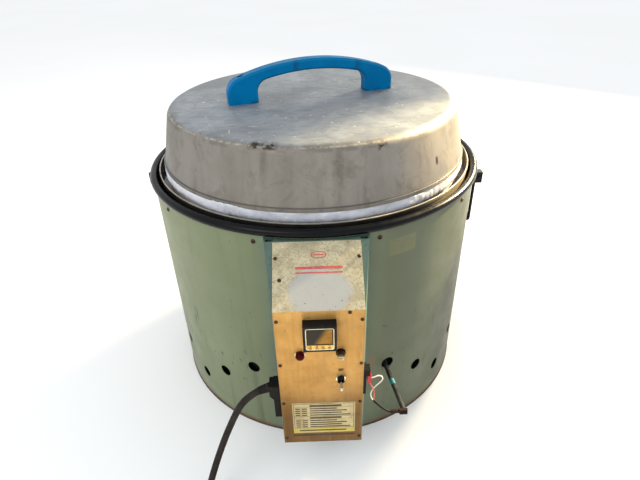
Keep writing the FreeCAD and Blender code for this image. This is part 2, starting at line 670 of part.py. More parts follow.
def panel_screw_places():
    """Every panel screw: four down each edge, one each side of the slant, and two odd ones."""
    places = [forward(side * PANEL_SCREW_ASIDE, "-panel_front", z)
              for z in PANEL_SCREW_HEIGHTS for side in (-1, 1)]
    places += [on_slant(side * PANEL_SCREW_ASIDE, SLANT_SCREW_DOWN) for side in (-1, 1)]
    return places + [on_slant(-55, 58), forward(43, "-panel_front", "fold_height - 3.4")]


def panel_screw_ways(name):
    """A clearance hole for every panel screw."""
    deep = 7
    return [rod("%s_%d" % (name, k), "1.6", "9", placement * turned(0, (0, 0, -deep)))
            for k, placement in enumerate(panel_screw_places())]


def controller():
    """A square panel-mounted temperature controller: its bezel in front, its case behind the panel."""
    half, middle = "controller_side / 2", "controller_middle"
    front = "-panel_front - controller_reach"
    bezel = plate("bezel", "XZ_Plane", [
        ("-" + half, middle + " - " + half), (half, middle + " - " + half),
        (half, middle + " + " + half), ("-" + half, middle + " + " + half)],
        "controller_reach", offset="panel_front")
    tip = bezel.Tip
    names = ["Edge%d" % (i + 1) for i, e in enumerate(tip.Shape.Edges)
             if e.BoundBox.YMax < number(front) + 0.01]
    bevel = bezel.newObject("PartDesign::Chamfer", "bezel_bevel")
    bevel.Base = (tip, names)
    bevel.Size = 1.5
    doc.recompute()
    case = block("controller_case", ("-22", "-panel_front", middle + " - 22"),
                 ("22", "-panel_front + 74", middle + " + 22"))
    recess = block("face_recess", ("-21", front + " - 1", middle + " - 21"),
                   ("21", front + " + 2.2", middle + " + 21"))
    wells = [rod("key_well_%d" % k, "1.9", "12", forward(x, front + " + 6", z))
             for k, (x, z) in enumerate(KEY_PLACES)]
    keep(cut("controller_housing", fuse("controller_body", bezel, case), recess, *wells), "controller_housing")
    face = block("face_plate", ("-20.8", front + " + 0.6", middle + " - 20.8"),
                 ("20.8", front + " + 2.2", middle + " + 20.8"))
    glass_low = (-18.5, front + " - 0.2", middle + " - 10")
    glass_high = (18.5, front + " + 1.4", middle + " + 18.5")
    bores = [rod("key_bore_%d" % k, "1.9", "6", forward(x, front + " + 4", z))
             for k, (x, z) in enumerate(KEY_PLACES)]
    keep(cut("controller_face", face, block("glass_seat", glass_low, glass_high), *bores), "controller_face")
    keep(block("controller_window", glass_low, glass_high), "controller_window")
    for k, (x, z) in enumerate(KEY_PLACES, 1):
        name = "controller_key_%d" % k
        keep(rod(name, "1.6", "3.4", forward(x, front + " + 3", z)), name)
    clamp = block("clamp_outer", ("-26", "-panel_front + panel_sheet", middle + " - 26"),
                  ("26", "-panel_front + 11", middle + " + 26"))
    keep(cut("controller_clamp", clamp, case), "controller_clamp")


def panel_fittings():
    front = "-panel_front"
    # pilot lamp
    x, z = LAMP
    lens = lathe("lens", [("0", "0"), ("6.8", "0"), ("6.8", "2.5"), ("1", "9"), ("0", "9")], rises={2: "-1.8"})
    lens.Placement = forward(x, front + " - 1", z)
    keep(lens, "lamp_lens")
    lamp = fuse("lamp", rod("lamp_flange", "7.6", "1", forward(x, front, z)),
                rod("lamp_barrel", "4.9", "30", forward(x, front + " + 30", z)),
                rod("lamp_nut", "8", "4", forward(x, front + " + 5.2", z)))
    keep(lamp, "lamp_body")
    # fuse holder: the cap turns in a bayonet
    x, z = FUSE
    holder = fuse("holder", rod("holder_flange", "7.2", "2", forward(x, front, z)),
                  rod("holder_barrel", "5.5", "34", forward(x, front + " + 34", z)),
                  rod("holder_nut", "8", "4", forward(x, front + " + 5.2", z)))
    keep(cut("fuse_holder_body", holder, rod("holder_bore", "4", "38", forward(x, front + " + 32", z))),
         "fuse_holder_body")
    cap = lathe("cap", [("0", "0"), ("6", "0"), ("6", "8"), ("5", "10"), ("0", "10")])
    cap.Placement = forward(x, front + " - 2.3", z)
    slot = block("cap_slot", (x - 5, front + " - 13", z - 0.6), (x + 5, front + " - 10.8", z + 0.6))
    stem = rod("cap_stem", "3.5", "7", forward(x, front + " + 4.7", z))
    keep(cut("fuse_cap", fuse("cap_whole", cap, stem), slot), "fuse_cap")
    keep(rod("fuse_link", "2.6", "20", forward(x, front + " + 25", z)), "fuse_link")
    toggle_switch()


def toggle_switch():
    """A bat-lever toggle: its lever rests pointing down and out, and swings up about a pin in its bush."""
    x, z = TOGGLE
    front = "-panel_front"
    case = block("switch_case", (x - 7, front + " + 5", z - 14), (x + 7, front + " + 27", z + 14))
    body = fuse("switch", case,
                rod("switch_bush", "5.6", "13", forward(x, front + " + 5", z)),
                block("switch_tag_top", (x - 3, front + " + 27", z + 6), (x + 3, front + " + 36", z + 7)),
                block("switch_tag_low", (x - 3, front + " + 27", z - 7), (x + 3, front + " + 36", z - 6)))
    mouth = lathe("mouth", [("0", "0"), ("3.4", "0"), ("4.8", "9"), ("0", "9")])
    mouth.Placement = forward(x, front, z)
    pin_half, pin_radius, running_gap = 4.9, 0.9, 0.06
    pivot = FreeCAD.Placement(vector(x - pin_half, front + " - 3", z),
                              FreeCAD.Rotation(FreeCAD.Vector(0, 1, 0), 90))
    pin_way = rod("pin_way", pin_radius + running_gap, 2 * pin_half, pivot)
    keep(cut("toggle_body", body, mouth, pin_way), "toggle_body")
    flats = 7.0  # half across flats
    corner = flats / math.cos(math.radians(30))
    turns = [math.radians(60 * k + 15) for k in range(6)]
    points = [(x + corner * math.cos(turn), z + corner * math.sin(turn)) for turn in turns]
    keep(plate("toggle_nut", "XZ_Plane", points, "2.6", offset="panel_front", holes=[(x, z, "5.9")]),
         "toggle_nut")
    lever = lathe("lever", [("0", "-2.6"), ("1.8", "-2"), ("2.6", "0"), ("1.7", "2.4"), ("1.8", "5"),
                            ("2.9", "17"), ("2.2", "19.6"), ("0", "20.4")])
    lever.Placement = FreeCAD.Placement(
        vector(x, front + " - 3", z), FreeCAD.Rotation(FreeCAD.Vector(1, 0, 0), 90 + TOGGLE_REST))
    pin = rod("lever_pin", pin_radius, 2 * pin_half, pivot)
    keep(fuse("lever_pinned", lever, pin), "toggle_lever")


TOGGLE_REST = 14  # degrees that the lever hangs below level


def box_contents():
    fins = ["heat_sink_fin_%d" % k for k in range(7)]
    plate_low, plate_high = ("-40", "-386", "box_foot + 20"), ("40", "-318", "box_foot + 26")
    features = [block("heat_sink_top", plate_low, plate_high)]
    for k, name in enumerate(fins):
        x = -40 + k * 77 / 6
        features.append(block(name, (x, "-386", "box_foot + box_sheet"), (x + 3, "-318", "box_foot + 20")))
    keep(fuse("heat_sink", *features), "heat_sink")
    keep(block("solid_state_relay", ("-29", "-374", "box_foot + 26"), ("29", "-330", "box_foot + 56")),
         "solid_state_relay")
    base = block("terminal_base", ("-50", "-panel_front + panel_sheet", "205"),
                 ("-26", "-panel_front + 21", "265"))
    wells = [rod("terminal_well_%d" % k, "3", "8", forward("-38", "-panel_front + 22", 215 + 13 * k))
             for k in range(4)]
    keep(cut("terminal_block", base, *wells), "terminal_block")


# ---------------------------------------------------------------- mains inlet and cord

CORD_ROUTE = [
    (-102.8, -375.5, 197.8), (-119.5, -379.8, 189.3), (-134.5, -385.5, 174.5), (-146.5, -392, 152),
    (-159.5, -400.5, 126), (-172.5, -412.5, 97), (-184.5, -427, 67), (-195, -446, 38.5),
    (-205, -465, 21.5), (-213.5, -484, 11), (-218.5, -505, 7.6), (-216.5, -526, 7),
]
TAIL_ROUTE = [(-115, -596, 18), (-97, -599, 18), (-79.5, -601.5, 13), (-62, -602, 10)]
GLAND_MOUTH = (-84, -374, 204.5)
COIL_MIDDLE = (-135, -524)
PLUG_PLACE = (-62, -602)


def mains_lead():
    outer = doc.getObject("box_outer")
    flange = block("flange_block", ("-77.5", "-386", "146"), ("-60", "-362", "217"))
    keep(cut("inlet_flange", flange, outer), "inlet_flange")
    keep(plate("cord_gland", "XZ_Plane", [("-77.5", "186"), ("-77.5", "216"), ("-84", "216"), ("-84", "194.5")],
               "22", offset="363"), "cord_gland")
    relief = doc.addObject("Part::Cone", "relief")
    bind(relief, Radius1="cord_thick / 2 + 2", Radius2="cord_thick / 2 + 0.6", Height="20")
    mouth = FreeCAD.Vector(*GLAND_MOUTH)
    along = FreeCAD.Vector(*CORD_ROUTE[0]) - mouth
    relief.Placement = FreeCAD.Placement(mouth, FreeCAD.Rotation(FreeCAD.Vector(0, 0, 1), along))
    keep(relief, "strain_relief")
    keep(tube("mains_cord", CORD_ROUTE, number("cord_thick")), "mains_cord")
    keep(tube("mains_cord_tail", TAIL_ROUTE, number("cord_thick")), "mains_cord_tail")
    x, y = COIL_MIDDLE
    inner, outside = "coil_radius - coil_width / 2", "coil_radius + coil_width / 2"
    coil = lathe("coil", [(inner, "tie_sheet"), (outside, "tie_sheet"), (outside, "tie_sheet + coil_tall"),
                          (inner, "tie_sheet + coil_tall")])
    coil.Placement.Base = FreeCAD.Vector(x, y, 0)
    keep(coil, "mains_cord_coil")
    band = block("tie_band", (x + number(inner) - 1.2, y - 6, "0"),
                 (x + number(outside) + 1.2, y + 6, "coil_tall + tie_sheet * 2"))
    keep(cut("cord_tie", band, coil), "cord_tie")


def plug():
    """A moulded two-pin plug lying on the floor beside the coil, its pins pointing to the right."""
    x, y = PLUG_PLACE
    grip_sides = [(x, y - 9), (x + 12, y - 14), (x + 40, y - 14),
                  (x + 40, y + 14), (x + 12, y + 14), (x, y + 9)]
    keep(plate("plug_body", "XY_Plane", grip_sides, "20"), "plug_body")
    blades = []
    for k, side in enumerate((-1, 1)):
        middle = y + side * 6.35
        bar = block("blade_%d" % k, (x + 40, middle - 0.75, 6.9), (x + 57, middle + 0.75, 13.1))
        hole = rod("blade_hole_%d" % k, "1.5", "8", forward(x + 53, y + side * 6.35 + 4, 10))
        blades.append(cut("blade_bored_%d" % k, bar, hole))
    doc.recompute()
    keep(gathered("plug_blades", [b.Shape for b in blades]), "plug_blades")


# ---------------------------------------------------------------- thermocouple

PROBE_MOUTH = (119.1, -286.2, 153)
PROBE_HEADING = 9


def probe_placement(along):
    """A placement on the probe's axis, a distance out from the casing, with its own Z along the axis."""
    heading = math.radians(PROBE_HEADING)
    out = FreeCAD.Vector(math.sin(heading), -math.cos(heading), 0)
    return FreeCAD.Placement(FreeCAD.Vector(*PROBE_MOUTH) + out * along,
                             FreeCAD.Rotation(FreeCAD.Vector(0, 0, 1), out))


HEAD_AT = (135.5, -388, 153)
LEAD_ROUTE = [(113.5, -389, 152), (107, -388, 154), (99, -386, 159), (91, -383, 165.5), (85, -380.5, 171)]
WHITE_ROUTE = [
    (79, -380, 224), (84.5, -380, 225.5), (89.8, -379.8, 228.8), (95.5, -379.5, 227.5), (98.5, -379.3, 222.5),
    (97.5, -379, 216), (92.5, -379, 210), (86.5, -379, 203), (82, -379, 195), (79.8, -379.3, 187),
    (80.5, -379.7, 179), (83.6, -380, 172.6),
]
RED_ROUTE = [(75.8, -384, 221), (78.5, -384, 213.5), (82.5, -383.5, 205), (84.8, -383, 196),
             (85.6, -382.3, 186), (85.2, -381.3, 173.8)]


def thermocouple():
    keep(rod("thermocouple_sheath", "sheath_thick / 2", "252", probe_placement(-150)), "thermocouple_sheath")
    x, y, z = HEAD_AT
    neck_from, head_from, head_to = x - 22, x - 8, x + 5
    neck = block("head_neck", (neck_from, y - 3, z - 2.5), (head_from, y + 1, z + 2.5))
    head = block("head_block", (head_from, y - 4, z - 5), (head_to, y + 1, z + 5))
    screws = [rod("head_screw_%d" % k, "1.8", "6.4", forward(head_from + 3.5 + 6 * k, y + 1, z))
              for k in range(2)]
    keep(fuse("thermocouple_head", neck, head, *screws), "thermocouple_head")
    keep(tube("thermocouple_lead", LEAD_ROUTE, number("lead_thick")), "thermocouple_lead")
    plate_part = block("jack_plate", ("60", "-388", "197"), ("70.8", "-370", "250"))
    socket = block("jack_socket", ("60", "-388", "236.5"), ("77", "-374", "250"))
    keep(cut("thermocouple_jack", fuse("jack", plate_part, socket), doc.getObject("box_outer")),
         "thermocouple_jack")
    keep(block("jack_plug", ("72.8", "-387", "221"), ("79", "-377", "236.5")), "thermocouple_plug")
    keep(tube("wire_white", WHITE_ROUTE, number("wire_thick")), "wire_white")
    keep(tube("wire_red", RED_ROUTE, number("wire_thick")), "wire_red")


# ---------------------------------------------------------------- build, check and write

drum_shells()
liner_and_insulation()
drum_fittings()
heating()
lid()
side_handles()
control_box()
front_panel()
controller()
panel_fittings()
box_contents()
mains_lead()
plug()
thermocouple()
doc.recompute()

for feature in doc.Objects:
    if "Invalid" in feature.State or "Error" in feature.State:
        raise RuntimeError("%s failed: %s" % (feature.Name, feature.State))
for feature in sub_parts:
    if feature.Shape.isNull() or not feature.Shape.isValid() or not feature.Shape.Solids:
        raise RuntimeError("%s has no valid solid" % feature.Label)
for feature in sub_parts:
    feature.Shape.exportStep("parts/%s.step" % feature.Label)
print("%d sub-parts written" % len(sub_parts))
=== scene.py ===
from math import cos, exp, pi, radians, sin, tau

import bmesh
import bpy
from mathutils import Matrix, Vector, noise


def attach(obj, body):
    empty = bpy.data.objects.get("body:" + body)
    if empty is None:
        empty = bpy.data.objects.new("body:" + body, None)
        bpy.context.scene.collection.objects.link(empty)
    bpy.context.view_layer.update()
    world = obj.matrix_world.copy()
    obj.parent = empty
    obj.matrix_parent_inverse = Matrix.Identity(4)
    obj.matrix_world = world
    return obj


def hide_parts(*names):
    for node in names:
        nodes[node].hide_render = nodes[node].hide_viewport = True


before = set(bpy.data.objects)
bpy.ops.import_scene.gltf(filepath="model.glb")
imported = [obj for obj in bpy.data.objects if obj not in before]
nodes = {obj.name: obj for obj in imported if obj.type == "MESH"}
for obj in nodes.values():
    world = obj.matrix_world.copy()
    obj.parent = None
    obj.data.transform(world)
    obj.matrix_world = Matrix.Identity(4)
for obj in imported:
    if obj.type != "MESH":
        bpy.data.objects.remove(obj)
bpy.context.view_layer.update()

# Top-loading electric pottery kiln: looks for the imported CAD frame. Metres, +Z up, front is -Y.
# An azimuth is measured about Z from the front, positive towards +X.

MM = 0.001
IN_MM = Matrix.Scale(MM, 4)

# ---------------------------------------------------------------- camera

LENS, SENSOR = 27.06, 36.0
CAMERA_AT = (0.0, -0.913, 0.816)
YAW, PITCH, ROLL = 0.0083, 0.5553, -0.0285


def make_camera():
    ahead = Vector((sin(YAW) * cos(PITCH), cos(YAW) * cos(PITCH), -sin(PITCH)))
    level = Vector((cos(YAW), -sin(YAW), 0))
    upright = level.cross(ahead)
    right = level * cos(ROLL) + upright * sin(ROLL)
    up = upright * cos(ROLL) - level * sin(ROLL)
    data = bpy.data.cameras.new("camera")
    data.lens, data.sensor_width = LENS, SENSOR
    camera = bpy.data.objects.new("camera", data)
    axes = Matrix((right, up, -ahead)).transposed().to_4x4()
    camera.matrix_world = Matrix.Translation(CAMERA_AT) @ axes
    bpy.context.scene.collection.objects.link(camera)
    bpy.context.scene.camera = camera


make_camera()

# ---------------------------------------------------------------- mesh and curve helpers


def link(name, data):
    made = bpy.data.objects.new(name, data)
    bpy.context.scene.collection.objects.link(made)
    return made


def mesh_piece(name, shape, crease=35):
    """A mesh object, smooth except where its faces meet at more than the crease angle."""
    points, faces = shape
    mesh = bpy.data.meshes.new(name)
    mesh.from_pydata([tuple(p) for p in points], [], faces)
    tidy = bmesh.new()
    tidy.from_mesh(mesh)
    bmesh.ops.recalc_face_normals(tidy, faces=tidy.faces)
    tidy.to_mesh(mesh)
    tidy.free()
    mesh.polygons.foreach_set("use_smooth", [True] * len(mesh.polygons))
    mesh.set_sharp_from_angle(angle=radians(crease))
    return link(name, mesh)


def joined(parts):
    """Several (points, faces) lists as one."""
    points, faces = [], []
    for some, sides in parts:
        base = len(points)
        points += some
        faces += [tuple(base + k for k in side) for side in sides]
    return points, faces


def lathed(profile, segments, shift=None, closed=False):
    """Points and faces of a profile of (radius, height) turned about Z. shift moves a point at an angle."""
    points, faces = [], []
    rows = len(profile)
    for s in range(segments):
        angle = tau * s / segments
        for radius, height in profile:
            point = Vector((radius * cos(angle), radius * sin(angle), height))
            points.append(shift(point, radius, height, angle) if shift else point)
    last = rows if closed else rows - 1
    for s in range(segments):
        after = (s + 1) % segments
        for k in range(last):
            up = (k + 1) % rows
            faces.append((s * rows + k, after * rows + k, after * rows + up, s * rows + up))
    return points, faces


def swept(centres, radius, sides=8, closed=False):
    """Points and faces of a round tube through the centres, with parallel-carried rings and closed ends."""
    points, faces = [], []
    count = len(centres)
    across = None
    for k, centre in enumerate(centres):
        if closed:
            before, after = centres[k - 1], centres[(k + 1) % count]
        else:
            before, after = centres[max(k - 1, 0)], centres[min(k + 1, count - 1)]
        along = (after - before).normalized()
        if across is None:
            across = along.orthogonal().normalized()
        across = (across - along * across.dot(along)).normalized()
        other = along.cross(across)
        size = radius(k / max(count - 1, 1)) if callable(radius) else radius
        for s in range(sides):
            angle = tau * s / sides
            points.append(centre + (across * cos(angle) + other * sin(angle)) * size)
    for k in range(count if closed else count - 1):
        for s in range(sides):
            a, b = k * sides + s, k * sides + (s + 1) % sides
            c, d = ((k + 1) % count) * sides + (s + 1) % sides, ((k + 1) % count) * sides + s
            faces.append((a, b, c, d))
    if not closed:
        faces.append(tuple(reversed(range(sides))))
        faces.append(tuple((count - 1) * sides + s for s in range(sides)))
    return points, faces


def slab(outline, base, top):
    """Points and faces of a flat plate: an outline of (x, y) between two heights."""
    count = len(outline)
    points = [Vector((x, y, base)) for x, y in outline] + [Vector((x, y, top)) for x, y in outline]
    faces = [tuple(reversed(range(count))), tuple(range(count, 2 * count))]
    faces += [(k, (k + 1) % count, count + (k + 1) % count, count + k) for k in range(count)]
    return points, faces


def moved(shape, matrix):
    points, faces = shape
    return [matrix @ Vector(p) for p in points], faces


def rectangle(x0, y0, x1, y1):
    return [(x0, y0), (x1, y0), (x1, y1), (x0, y1)]


def rounded(x0, y0, x1, y1, radius, steps=5):
    """A rectangle's outline with rounded corners."""
    outline = []
    corners = [(x1 - radius, y1 - radius, 0), (x0 + radius, y1 - radius, 90),
               (x0 + radius, y0 + radius, 180), (x1 - radius, y0 + radius, 270)]
    for x, y, start in corners:
        for k in range(steps + 1):
            angle = radians(start + 90 * k / steps)
            outline.append((x + radius * cos(angle), y + radius * sin(angle)))
    return outline


def frame_shape(outer, inner, base, top):
    """Points and faces of a flat frame between two outlines that have as many points as each other."""
    count = len(outer)
    points = [Vector((x, y, z)) for z in (base, top) for ring in (outer, inner) for x, y in ring]
    faces = []
    for k in range(count):
        n = (k + 1) % count
        faces.append((k, count + k, count + n, n))
        faces.append((2 * count + k, 2 * count + n, 3 * count + n, 3 * count + k))
        faces.append((k, n, 2 * count + n, 2 * count + k))
        faces.append((count + k, 3 * count + k, 3 * count + n, count + n))
    return points, faces


POINT_RADIUS = 0.001  # a curve's box is this much larger all round, so it is kept well under the default


def spline_piece(name, route, diameter, sides=5):
    """A flexible lead: one open NURBS spline with the route's points as its control points."""
    curve = bpy.data.curves.new(name, "CURVE")
    curve.dimensions = "3D"
    spline = curve.splines.new("NURBS")
    spline.points.add(len(route) - 1)
    for point, place in zip(spline.points, route):
        point.co = (*place, 1)
        point.radius = POINT_RADIUS
    spline.order_u = 3
    spline.use_endpoint_u = True
    spline.resolution_u = 8
    curve.bevel_depth = diameter / 2 / POINT_RADIUS
    curve.bevel_resolution = sides
    curve.use_fill_caps = True
    return link(name, curve)


def spline_length(piece):
    bare = piece.data.copy()
    bare.bevel_depth = 0
    probe = link("measure", bare)
    line = bpy.data.meshes.new_from_object(probe.evaluated_get(bpy.context.evaluated_depsgraph_get()))
    bpy.data.objects.remove(probe)
    ends = [[line.vertices[k].co for k in edge.vertices] for edge in line.edges]
    total = sum((first - last).length for first, last in ends)
    bpy.data.meshes.remove(line)
    return total


# ---------------------------------------------------------------- cords

CORD = 11.5 * MM
COIL_MIDDLE = (-135, -524)
CORD_ROUTE = [
    (-102.8, -375.5, 197.8), (-119.5, -379.8, 189.3), (-134.5, -385.5, 174.5), (-146.5, -392, 152),
    (-159.5, -400.5, 126), (-172.5, -412.5, 97), (-184.5, -427, 67), (-195, -446, 38.5),
    (-205, -465, 21.5), (-213.5, -484, 11),
]
TAIL_ROUTE = [(-97, -599, 18.6), (-79.5, -601.5, 13), (-62, -602, 10)]
LEAD_ROUTE = [(113.5, -389, 152), (107, -388, 154), (99, -386, 159), (91, -383, 165.5), (85, -380.5, 171)]
WHITE_ROUTE = [
    (79, -380, 224), (84.5, -380, 225.5), (89.8, -379.8, 228.8), (95.5, -379.5, 227.5), (98.5, -379.3, 222.5),
    (97.5, -379, 216), (92.5, -379, 210), (86.5, -379, 203), (82, -379, 195), (79.8, -379.3, 187),
    (80.5, -379.7, 179), (83.6, -380, 172.6),
]
RED_ROUTE = [(75.8, -384, 221), (78.5, -384, 213.5), (82.5, -383.5, 205), (84.8, -383, 196),
             (85.6, -382.3, 186), (85.2, -381.3, 173.8)]

# the coil: angle, radius and height of the cord's middle, in degrees and millimetres. Three turns lie side
# by side on the floor, and the rest climbs on them and lies in their hollows.
WINDING = [
    (165, 87.5, 7.8), (182, 82.5, 7), (204, 76.5, 7), (510, 76.5, 7), (560, 65, 7), (870, 65, 7),
    (920, 53.5, 7), (1184, 53.5, 7), (1230, 53, 17.2), (1255, 56, 18.8), (1285, 59.3, 17.2),
    (1498, 59.3, 17.2), (1525, 65, 19), (1552, 70.8, 17.2), (1692, 70.8, 17.4), (1706, 71.6, 18.4),
]
TURN_STEP = 23.0
POLYGON_EXCESS = 1.021  # control points stand this much outside the smooth turn they make


def coil_points():
    """Control points of the coil's turns, by even steps of angle."""
    found = []
    first, last = WINDING[0][0], WINDING[-1][0]
    steps = round((last - first) / TURN_STEP)
    for k in range(steps + 1):
        angle = first + (last - first) * k / steps
        for (a0, r0, z0), (a1, r1, z1) in zip(WINDING, WINDING[1:]):
            if a0 <= angle <= a1 + 1e-6:
                share = (angle - a0) / (a1 - a0)
                share = share * share * (3 - 2 * share)
                radius = (r0 + (r1 - r0) * share) * POLYGON_EXCESS
                height = z0 + (z1 - z0) * share
                break
        x, y = COIL_MIDDLE
        turn = radians(angle)
        found.append((x + radius * cos(turn), y + radius * sin(turn), height))
    return found


def in_metres(route):
    return [tuple(v * MM for v in point) for point in route]


def lathe_along(name, start, end, profile, segments=40):
    """A turned piece whose own Z runs from start to end. The profile is (radius, distance) in millimetres."""
    start, end = Vector(start) * MM, Vector(end) * MM
    aim = (end - start).to_track_quat("Z", "Y").to_matrix().to_4x4()
    shape = lathed([(r * MM, z * MM) for r, z in profile], segments)
    return mesh_piece(name, moved(shape, Matrix.Translation(start) @ aim))


def relief_boot():
    """The tapered boot where the cord leaves its gland, with flexing grooves."""
    profile = [(0, -1), (7.4, -1), (7.75, 0), (7.75, 3.5)]
    grooves, first, pitch = 5, 4.6, 2.8
    for k in range(grooves):
        at = first + k * pitch
        wide = 7.6 - 0.24 * k
        profile += [(wide, at), (wide - 0.9, at + 0.35), (wide - 0.9, at + 1.05), (wide - 0.15, at + 1.4)]
    profile += [(6.4, 19.2), (6.1, 20), (5.2, 20.2), (0, 20.2)]
    made = lathe_along("cord_relief_boot", (-84, -374, 204.5), CORD_ROUTE[0], profile)
    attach(made, "kiln")
    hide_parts("strain_relief")
    return made


def plug_shell():
    """The moulded plug, with a waist for the fingers, side grooves and a flat face with two pins."""
    x0, y0, half_tall = TAIL_ROUTE[-1]
    # distance along, half width, half height
    sections = [(0, 6.6, 6.4), (1, 7.6, 7.2), (4, 8.6, 7.8), (9, 10.4, 8.6), (13, 12.2, 9.3),
                (17, 13.1, 9.7), (22, 12.9, 9.5), (26, 12.5, 9.3), (31, 12.9, 9.6), (35, 13.7, 9.9),
                (38.5, 14, 10), (40, 13.3, 9.4)]
    around, squareness = 36, 3.4
    points, faces = [], []
    for along, wide, tall in sections:
        for s in range(around):
            angle = tau * s / around
            c, d = cos(angle), sin(angle)
            # a squared-off oval
            reach = (abs(c) ** squareness + abs(d) ** squareness) ** (-1 / squareness)
            points.append(Vector((x0 + along, y0 + wide * reach * c, half_tall + tall * reach * d)) * MM)
    for k in range(len(sections) - 1):
        for s in range(around):
            n = (s + 1) % around
            faces.append((k * around + s, k * around + n, (k + 1) * around + n, (k + 1) * around + s))
    faces.append(tuple(range(around)))
    faces.append(tuple((len(sections) - 1) * around + s for s in range(around)))
    ribs = []
    for side in (-1, 1):
        for k in range(4):
            at = 20 + k * 2.6
            ribs.append(moved(slab(rounded(-0.6, -5, 0.6, 5, 0.55), 0, 1.1), Matrix.Translation(
                Vector((x0 + at, y0 + side * 12.2, half_tall)) * MM) @ Matrix.Rotation(
                side * -pi / 2, 4, "X") @ IN_MM))
    made = mesh_piece("plug_shell", joined([(points, faces)] + ribs), crease=50)
    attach(made, "kiln")
    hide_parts("plug_body")
    return made


def coil_strap():
    """A strap round the coil's bundle, with its ratchet head on top."""
    x, y = COIL_MIDDLE
    low, high, head_at, wide, thick = x + 46.6, x + 83.4, x + 80.2, 6, 1
    outside = rounded(low, 0.1, high, 24, 4)
    inside = rounded(low + thick, 0.1 + thick, high - thick, 24 - thick, 3.2)
    turn = Matrix.Translation(Vector((0, y + wide / 2, 0)) * MM) @ Matrix.Rotation(pi / 2, 4, "X")
    band = moved(frame_shape(outside, inside, 0, wide), turn @ IN_MM)
    head = moved(slab(rounded(head_at - 3.4, -4.4, head_at + 3.2, 4.4, 1.2), 16.5, 23.8),
                 Matrix.Translation(Vector((0, y, 0)) * MM) @ IN_MM)
    made = mesh_piece("coil_strap", joined([band, head]))
    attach(made, "kiln")
    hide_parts("cord_tie")
    return made


def leads():
    boot, plug, strap = relief_boot(), plug_shell(), coil_strap()
    cord = spline_piece("mains_lead", in_metres(CORD_ROUTE + coil_points() + TAIL_ROUTE), CORD)
    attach(cord, "kiln")
    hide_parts("mains_cord", "mains_cord_coil", "mains_cord_tail")
    length = spline_length(cord)
    print("mains lead: %.3f m" % length)
    small = [("probe_lead", LEAD_ROUTE, 3.6, "thermocouple_lead", "black_plastic", 0.0357),
             ("lead_white", WHITE_ROUTE, 2.0, "wire_white", "white_wire", 0.0787),
             ("lead_red", RED_ROUTE, 2.0, "wire_red", "red_wire", 0.0489)]
    made = [cord, boot, plug, strap]
    for name, route, thick, node, slot, long in small:
        piece = spline_piece(name, in_metres(route), thick * MM)
        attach(piece, "kiln")
        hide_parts(node)
        print(name, "%.4f m" % spline_length(piece))
        made.append(piece)
    return made


lead_pieces = leads()

# ---------------------------------------------------------------- materials


def tint(code):
    """A colour given as it shows on a screen, in hexadecimal, as the linear values that a shader takes."""
    levels = [int(code[k:k + 2], 16) / 255 for k in (0, 2, 4)]
    return (*[v / 12.92 if v <= 0.04045 else ((v + 0.055) / 1.055) ** 2.4 for v in levels], 1.0)


